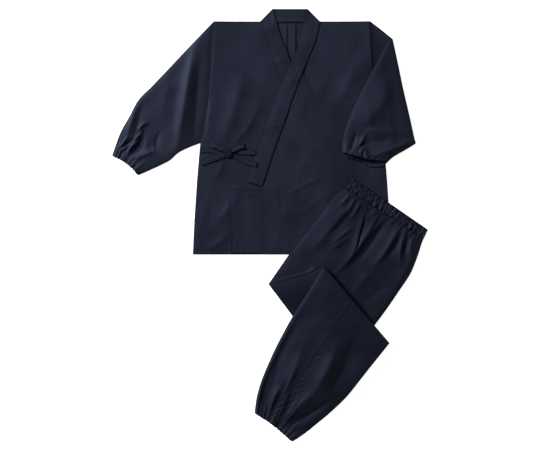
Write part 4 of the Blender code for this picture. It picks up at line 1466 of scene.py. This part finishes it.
@dataclass
class Trousers(Garment):
    """The trousers, one leg on the other, folded in a Z: thigh, middle fold and lower leg.

    Each section runs from the front's edge over the side seam to the back's edge.
    """

    waist: Rows = ((269, 153, 331, 111, 515, -15), (247, 120, 319, 74, 501, -44))
    thigh: Rows = (
        (247, 120, 319, 74, 501, -44), (213, 98, 313, 52, 495, -59), (190, 70, 305, 24, 485, -91),
        (160, 30, 293, -18, 471, -129), (112, -30, 275, -84, 454, -166), (67, -90, 243, -128, 422, -214),
        (30, -143, 213, -165, 386, -267), (-3, -191, 180, -215, 342, -327),
    )
    thigh_hidden: Rows = ((-1, -195, 150, -290, 295, -410), (2, -200, 122, -350, 240, -512))
    middle: Rows = (
        (-4, -193, 116, -353, 239, -515), (99, -166, 196, -306, 300, -455),
        (136, -152, 236, -278, 345, -418), (173, -133, 270, -246, 388, -384),
    )
    lower: Rows = (
        (173, -133, 270, -246, 388, -384), (125, -213, 225, -310, 340, -445),
        (76, -294, 170, -387, 290, -507), (47, -348, 139, -435, 256, -550),
        (20, -399, 110, -482, 223, -587), (-1, -445, 83, -522, 188, -620), (-19, -487, 58, -560, 154, -648),
        (-34, -528, 36, -596, 121, -675), (-44, -568, 20, -627, 93, -694), (-50, -613, 9, -652, 73, -706),
    )
    front_width: float = 150.0
    back_width: float = 220.0      # at the thigh; the lower leg's back is as wide as its front
    thigh_length: float = 400.0
    middle_length: float = 190.0
    lower_length: float = 540.0
    band_length: float = 300.0
    band_width: float = 38.0
    spacing: float = 3.6
    hidden_spacing: float = 8.0
    band_spacing: tuple[float, float] = (1.8, 2.4)     # along the band, and across it
    seam_stitches: float = 5.0     # behind the side seam
    cuff_stitches: float = 11.0    # the lower leg's second row, behind it too
    mouth_stitches: float = 4.0    # before it, along the pocket's mouth
    band_rows: tuple[float, float] = (8.0, 33.0)
    layer_depths: Triple = (5.0, 5.5, 5.0)     # thickness of the upper, middle and lower layers
    layer_counts: tuple[int, int, int] = (4, 6, 6)     # how many of each show at the rim
    edge_share: float = 0.7        # share of the layers' thickness that is left at their edges
    leg_rim: float = 3.4           # the ridge that the lower leg's fold makes along its front's edge
    thinning: float = 0.7          # share by which the lower leg thins out over its last third
    puff_rise: float = 3.6
    opening: tuple[float, float] = (0.14, 0.50)    # the pocket mouth's ends, as shares of the thigh
    mouth_rise: float = 3.6        # how far the mouth's edge stands up, and the cloth behind it sinks
    mouth_fall: float = 2.2
    tack_half: float = 0.008       # half a bar tack at the mouth's end, as a share of the thigh
    tack_rows: int = 6
    tack_width: tuple[float, float] = (0.945, 0.995)   # from where to where it runs across the front
    waist_gathers: Gathers = Gathers(24, 3.4, 26, 52, 0.6, 1.3)
    waist_upper: Gathers = Gathers(27, 3.6, 15, 57, 0.6, 1.1, 0.45)    # from the band's top edge
    waist_lower: Gathers = Gathers(22, 3.4, 14, 61, 0.8, 1.1, 0.45)    # and from its lower one
    seam_puckers: Gathers = Gathers(40, 1.8, 24, 77, 0.5, 1.1)     # fine puckers along the leg's seam
    cuff: Cuff = Cuff(Gathers(10, 3.6, 30, 64), Gathers(15, 2.2, 12, 69), 14.0, scallop=1.8)
    ease: float = 64.0             # how widely the stack eases over the jacket's edges
    ease_fold: float = 40.0        # how widely the folded leg eases over the thigh's edges
    folds_thigh: Reliefs = (
        Fold(268, 78, 128, -88, -5, 6.0, 22, 0.35), Fold(262, 40, 176, -44, -3, -4.0, 15),
        Fold(268, -10, 206, -60, 3, 3.5, 7), Fold(262, -40, 196, -84, 3, 3.0, 8),
        Fold(352, 34, 226, -152, -7, 7.0, 12, 0.2), Fold(378, 24, 270, -130, -9, -4.0, 12),
        Fold(384, 44, 316, -40, -4, 2.5, 6), Fold(420, 4, 334, -138, -9, 6.5, 13, 0.2),
        Fold(434, -12, 380, -110, -6, -3.5, 9), Fold(441, -22, 423, -130, 6, 5.0, 8, 0.2),
        Fold(466, -40, 458, -100, 3, 4.5, 7), Fold(454, -30, 440, -110, 3, -3.5, 6),
        Fold(484, -60, 396, -215, -8, 5.0, 24), Fold(2, -189, 168, -136, 4, 2.4, 5),
        Fold(156, -132, 116, -178, 3, 3.0, 8), Fold(330, -150, 270, -235, 6, 4.0, 24),
        Fold(262, 108, 226, 62, -3, 4.0, 7), Fold(278, 92, 246, 36, -3, 3.5, 6),
        Fold(296, 84, 262, 18, -3, 3.5, 7), Fold(352, 62, 330, 30, -2, 3.5, 5),
        Fold(384, -200, 300, -260, 4, -3.0, 18), Fold(40, -175, 70, -235, -4, 2.0, 14),
        Unevenness(0.5, 70, 71),
    )
    folds_lower: Reliefs = (
        Fold(222, -372, 54, -640, -26, 12.0, 32, -0.3), Fold(270, -392, 184, -566, -8, -6.0, 30, -0.5),
        Fold(120, -560, 48, -652, 3, 4.0, 7, 0.2), Fold(100, -410, 16, -592, -8, 7.5, 18, 0.2),
        Fold(30, -528, -3, -618, 3, 6.0, 8, 0.2), Fold(60, -548, 26, -628, -2, 4.5, 8),
        Fold(238, -556, 58, -684, -10, 6.5, 15, 0.0, 0.6), Fold(226, -548, 62, -656, -6, -5.5, 11),
        Fold(62, -490, 16, -590, -4, -4.0, 9), Fold(180, -280, 96, -420, 6, 3.0, 30),
        Fold(-22, -490, -38, -580, 2, 4.0, 7), Fold(94, -560, 44, -636, -3, 3.5, 7),
        soft_fold(252, -250, 90, -560, 0, 6.0, 62), Fold(80, -335, -20, -620, 14, -4.5, 17, 0.0, 0.8),
        Unevenness(0.5, 70, 83),
    )

    @staticmethod
    def seamed(sections: Rows, rows: Array, fronts: Array, backs: Array) -> Array:
        """Loft sections that are bent at the side seam.

        Args:
            sections: The front's edge, the side seam and the back's edge of each, as x and y.
            rows: The shares of the rows.
            fronts: The shares of the front's columns.
            backs: The shares of the back's columns.

        Returns:
            The grid, the front first; its two parts share the seam's column.
        """
        curve = smooth_curve(sections, rows)
        front = across(curve[:, 0:2], curve[:, 2:4], fronts)
        return np.concatenate([front, across(curve[:, 2:4], curve[:, 4:6], backs)[:, 1:]], axis=1)

    def stack(self, node: str, grid: Array, rows: Array, thickness: Array | float, count: int,
              ease: float) -> None:
        """Lay hidden layers: their top eases over what is below, and their underside lies close on it.

        They are thinner by the edge share where their edges are drawn down.

        Args:
            node: The CAD node that they stand for.
            grid: Their sections.
            rows: The shares of its rows.
            thickness: Their thickness well inside.
            count: How many layers show at the rim.
            ease: How widely they ease over the edges below them.
        """
        thickness = thickness * (self.edge_share + (1 - self.edge_share) * soft_sides(grid))
        eased = self.rest(node, grid, REACH, ease)
        under = np.minimum(self.rest(node, grid), eased)
        self.layers(node, grid, under, eased + thickness - under, count,
                    (rows, np.linspace(0, 1, grid.shape[1])))

    def leg_cloth(self, stretch: str, grid: Array, height: Array, rows: Array,
                  columns: Steps) -> list[Panel]:
        """Lay one stretch of the leg: its front's and its back's cloth, parted at the side seam.

        Args:
            stretch: Which one, as its nodes' names end.
            grid: Its sections.
            height: The height of its underside.
            rows: The shares of its rows.
            columns: The shares of its front's columns and of its back's.

        Returns:
            The front's and the back's panel.
        """
        seam = len(columns[0]) - 1
        along = unit(grid[:, seam + 1] - grid[:, seam]) * SEAM_GAP / 2
        front, back = grid[:, :seam + 1].copy(), grid[:, seam:].copy()
        front[:, -1] -= along
        back[:, 0] += along
        parts = zip(("front", "back"), (front, back), (height[:, :seam + 1], height[:, seam:]), columns)
        return [self.cloth(f"trousers_{name}_{stretch}", part, lift, (rows, shares))
                for name, part, lift, shares in parts]

    def build_thigh(self) -> None:
        """The trousers' upper stretch, which lies on the jacket's corner."""
        rows, *columns = [run_steps(size, self.hidden_spacing)
                          for size in (self.thigh_length, self.front_width, self.back_width)]
        grid = np.concatenate([
            self.seamed(self.waist, np.array([0, 0.5]), *columns),
            self.seamed(self.thigh, rows, *columns),
            self.seamed(self.thigh_hidden, np.linspace(0, 1, 14), *columns),
        ])
        self.stack("trousers_layers_upper", grid, np.linspace(0, 1, len(grid)), self.layer_depths[0],
                   self.layer_counts[0], self.ease)

        rows = run_steps(self.thigh_length, self.spacing)
        mouth_line = self.front_width - self.mouth_stitches
        columns = (run_steps(self.front_width, self.spacing, (mouth_line,)),
                   run_steps(self.back_width, self.spacing, (self.seam_stitches,)))
        grid = self.seamed(self.thigh, rows, *columns)
        first, last = spans(grid)
        soft = soft_sides(grid, 13, 6)
        base = self.rest("trousers_front_upper", grid)
        from_waist = run_from(grid, 0)
        lift = np.maximum(self.puff_rise + folded(grid, self.folds_thigh), 0.2) * puff(from_waist, 9)
        lift = lift + self.waist_gathers.height(first / (first + last), from_waist)
        seam = len(columns[0]) - 1
        from_seam = first - first[:, seam:seam + 1]
        start, end = self.opening
        mouth = np.clip(np.minimum(rows - start, end - rows) * 12, 0, 1)[:, None]
        height = base + lift * soft + mouth * self.mouth_rise * bell(from_seam, 13) * (from_seam <= 0)
        height = height - mouth * self.mouth_fall * bell(from_seam, 7) * (from_seam > 0)
        height = height + 0.8 * bell(from_seam - 2, 3.5) * (from_seam >= 0)
        height = height + sewn_dip(from_seam - self.seam_stitches, 0.5)
        front, back = self.leg_cloth("upper", grid, np.maximum(height, base + 0.1), rows, columns)
        self.sew(back, (np.linspace(0.01, 0.98, 300), self.seam_stitches / self.back_width))
        tacks = [(place + row, np.linspace(*self.tack_width, 4)) for place in (end, start)
                 for row in np.linspace(-1, 1, self.tack_rows) * self.tack_half]
        self.sew(front, (np.linspace(start, end, 120), mouth_line / self.front_width), *tacks)

    def build_waistband(self) -> None:
        """The waistband's casing: its crown + puckers from both edges, with the dips of two sewn rows."""
        columns = run_steps(self.band_length, self.band_spacing[0])
        rows = run_steps(self.band_width, self.band_spacing[1], self.band_rows)
        edges = [smooth_curve(np.array(row, float).reshape(3, 2), columns) for row in self.waist]
        grid = across(edges[0], edges[1], rows * 0.98).transpose(1, 0, 2)
        from_top = rows[:, None] * self.band_width
        share, depth = np.broadcast_arrays(columns[None, :], from_top)
        ripple = self.waist_upper.height(share, depth)
        ripple = ripple + self.waist_lower.height(share, self.band_width - depth)
        ripple = ripple + Unevenness(0.6, 12, 66).height(grid)
        scallop = self.waist_upper.height(columns, np.zeros_like(columns))[None, :] * bell(from_top, 7)
        grid = grid - (0.8 * scallop - 2.4)[..., None] * unit(edges[1] - edges[0])[None]
        upper, lower = self.band_rows
        crown = 1.6 * np.sin(np.pi * np.clip((from_top - upper) / (lower - upper), 0, 1)) + 0.6
        height = self.rest("trousers_waistband", grid, 4.0, 6.0) + crown + ripple
        height = height + sum(sewn_dip(from_top - line, 0.9) for line in self.band_rows)
        panel = self.cloth("trousers_waistband", grid, height, (rows, columns), BAND)
        share = np.linspace(0.01, 0.99, 260)
        self.sew(panel, *[(line / self.band_width, share) for line in self.band_rows])

    def build_lower(self) -> None:
        """The fold's middle, and the lower leg that runs down from it to the gathered cuff."""
        half, rows, leg_rows = [run_steps(size, self.hidden_spacing) for size in
                                (self.front_width, self.middle_length, self.lower_length)]
        self.stack("trousers_layers_middle", self.seamed(self.middle, rows, half, half), rows,
                   self.layer_depths[1], self.layer_counts[1], self.ease_fold)
        self.stack("trousers_layers_lower", self.seamed(self.lower, leg_rows, half, half), leg_rows,
                   self.layer_depths[2] * self.left_at(leg_rows), self.layer_counts[2], self.ease_fold)

        rows = run_steps(self.lower_length, self.spacing, (self.lower_length - self.cuff.casing,))
        stitches = self.seam_stitches, self.cuff_stitches
        fronts = run_steps(self.front_width, self.spacing)
        backs = run_steps(self.front_width, self.spacing, stitches)
        grid = self.seamed(self.lower, rows, fronts, backs)
        columns = np.concatenate([fronts, 1 + backs[1:]]) / 2
        grid = self.cuff.drawn(grid, columns, 0.0, 1.0)
        first, _ = spans(grid)
        soft = soft_sides(grid, 4, 32)
        rim = self.leg_rim * bell(first - 5, 11) * puff(first, 3) * np.clip(rows * 6 - 1.8, 0, 1)[:, None]
        lift = np.maximum(self.puff_rise * self.left_at(rows) + folded(grid, self.folds_lower), 0.2)
        from_seam = first - first[:, len(fronts) - 1:len(fronts)]
        slanted = rows[:, None] + 1.7 * from_seam / self.lower_length
        height = (self.rest("trousers_front_lower", grid) + lift * soft * puff(run_from(grid, 0), 9) + rim
                  + self.cuff.lift(grid, columns) * soft_sides(grid, 4, 4)
                  + sewn_dip(from_seam - self.seam_stitches, 0.4)
                  + self.seam_puckers.height(slanted, np.abs(from_seam - 4)) * soft)
        front, back = self.leg_cloth("lower", grid, height, rows, (fronts, backs))
        along = np.linspace(0.01, 0.97, 400)
        self.sew(back, *[(along, line / self.front_width) for line in stitches])
        self.sew(front, (1 - self.cuff.casing / self.lower_length, np.linspace(0.01, 0.99, 120)))

    def left_at(self, rows: Array) -> Array:
        """Share of the lower leg's thickness that is left at shares of its length."""
        return 1 - self.thinning * np.clip(rows * 3 - 2, 0, 1)[:, None]


@dataclass
class Studio:
    """A plain pale light table, soft light from the upper left, and the camera straight above."""

    eye: float = 3.434
    lens: float = 70.0
    sensor: float = 36.0
    floor_drop: float = 0.0006
    floor_half: float = 40.0
    floor_colour: Triple = (0.92, 0.92, 0.92)
    floor_glow: float = 0.92       # the table's own light, which washes the shadows out
    # Each lamp's place, power and size
    lamps: tuple[tuple[str, Triple, float, float], ...] = (
        ("key", (-5.1, 3.8, 3.55), 725.0, 2.3),
        ("fill", (2.4, -1.2, 2.8), 3.0, 2.5),
    )
    sky: float = 0.075

    def build(self) -> None:
        """Make the floor, the lights, the sky and the camera."""
        scene = bpy.context.scene
        corners = np.array([[-1, -1, 0], [1, -1, 0], [1, 1, 0], [-1, 1, 0]]) * self.floor_half
        corners = (corners - [0, 0, self.floor_drop]) / MM
        floor = bpy.data.objects.new("floor", make_mesh("floor", corners, np.array([[0, 1, 2, 3]])))
        scene.collection.objects.link(floor)
        table, _, _ = new_material("light_table", Base_Color=(*self.floor_colour, 1), Roughness=0.9,
                                   Specular_IOR_Level=0.1, Emission_Color=(1, 1, 1, 1),
                                   Emission_Strength=self.floor_glow)
        floor.data.materials.append(table)
        for name, place, power, size in self.lamps:
            self.lamp(name, place, power, size)
        scene.world = bpy.data.worlds.new("studio")
        scene.world.use_nodes = True
        sky = scene.world.node_tree.nodes["Background"].inputs
        sky["Color"].default_value = (1, 1, 1, 1)
        sky["Strength"].default_value = self.sky
        data = bpy.data.cameras.new("camera")
        data.lens, data.sensor_width = self.lens, self.sensor
        scene.camera = bpy.data.objects.new("camera", data)
        scene.camera.location = (0, 0, self.eye)
        scene.collection.objects.link(scene.camera)
        scene.view_settings.view_transform = "Standard"

    @staticmethod
    def lamp(name: str, place: Triple, power: float, size: float) -> None:
        """Hang a square soft light that faces the middle of the floor.

        Args:
            name: Its name.
            place: Where it hangs, in metres.
            power: Its power, in watts.
            size: Its side, in metres.
        """
        data = bpy.data.lights.new(name, "AREA")
        data.energy, data.size = power, size
        lamp = bpy.data.objects.new(name, data)
        lamp.location = place
        lamp.rotation_euler = (-Vector(place)).to_track_quat("-Z", "Y").to_euler()
        bpy.context.scene.collection.objects.link(lamp)


def main() -> None:
    """Build the set lowest first, because each piece lies on those before it."""
    logging.basicConfig(level=logging.INFO, format="%(name)s %(message)s")
    shop = Workshop()
    body, collar, trousers = JacketBody(shop), Collar(shop), Trousers(shop)
    body.back()
    body.front("jacket_front_right", -1, body.folds_right, BLEND, body.roll_right)
    collar.build_right()
    body.build_pocket()
    body.front("jacket_front_left", 1, body.folds_left, body.ease_left, body.roll_left)
    collar.build_left()
    RightSleeve(shop).build()
    LeftSleeve(shop).build()
    trousers.build_thigh()
    trousers.build_waistband()
    trousers.build_lower()
    SideTie(shop).build()
    Studio().build()
    bpy.context.view_layer.update()


if __name__ == "__main__":
    main()
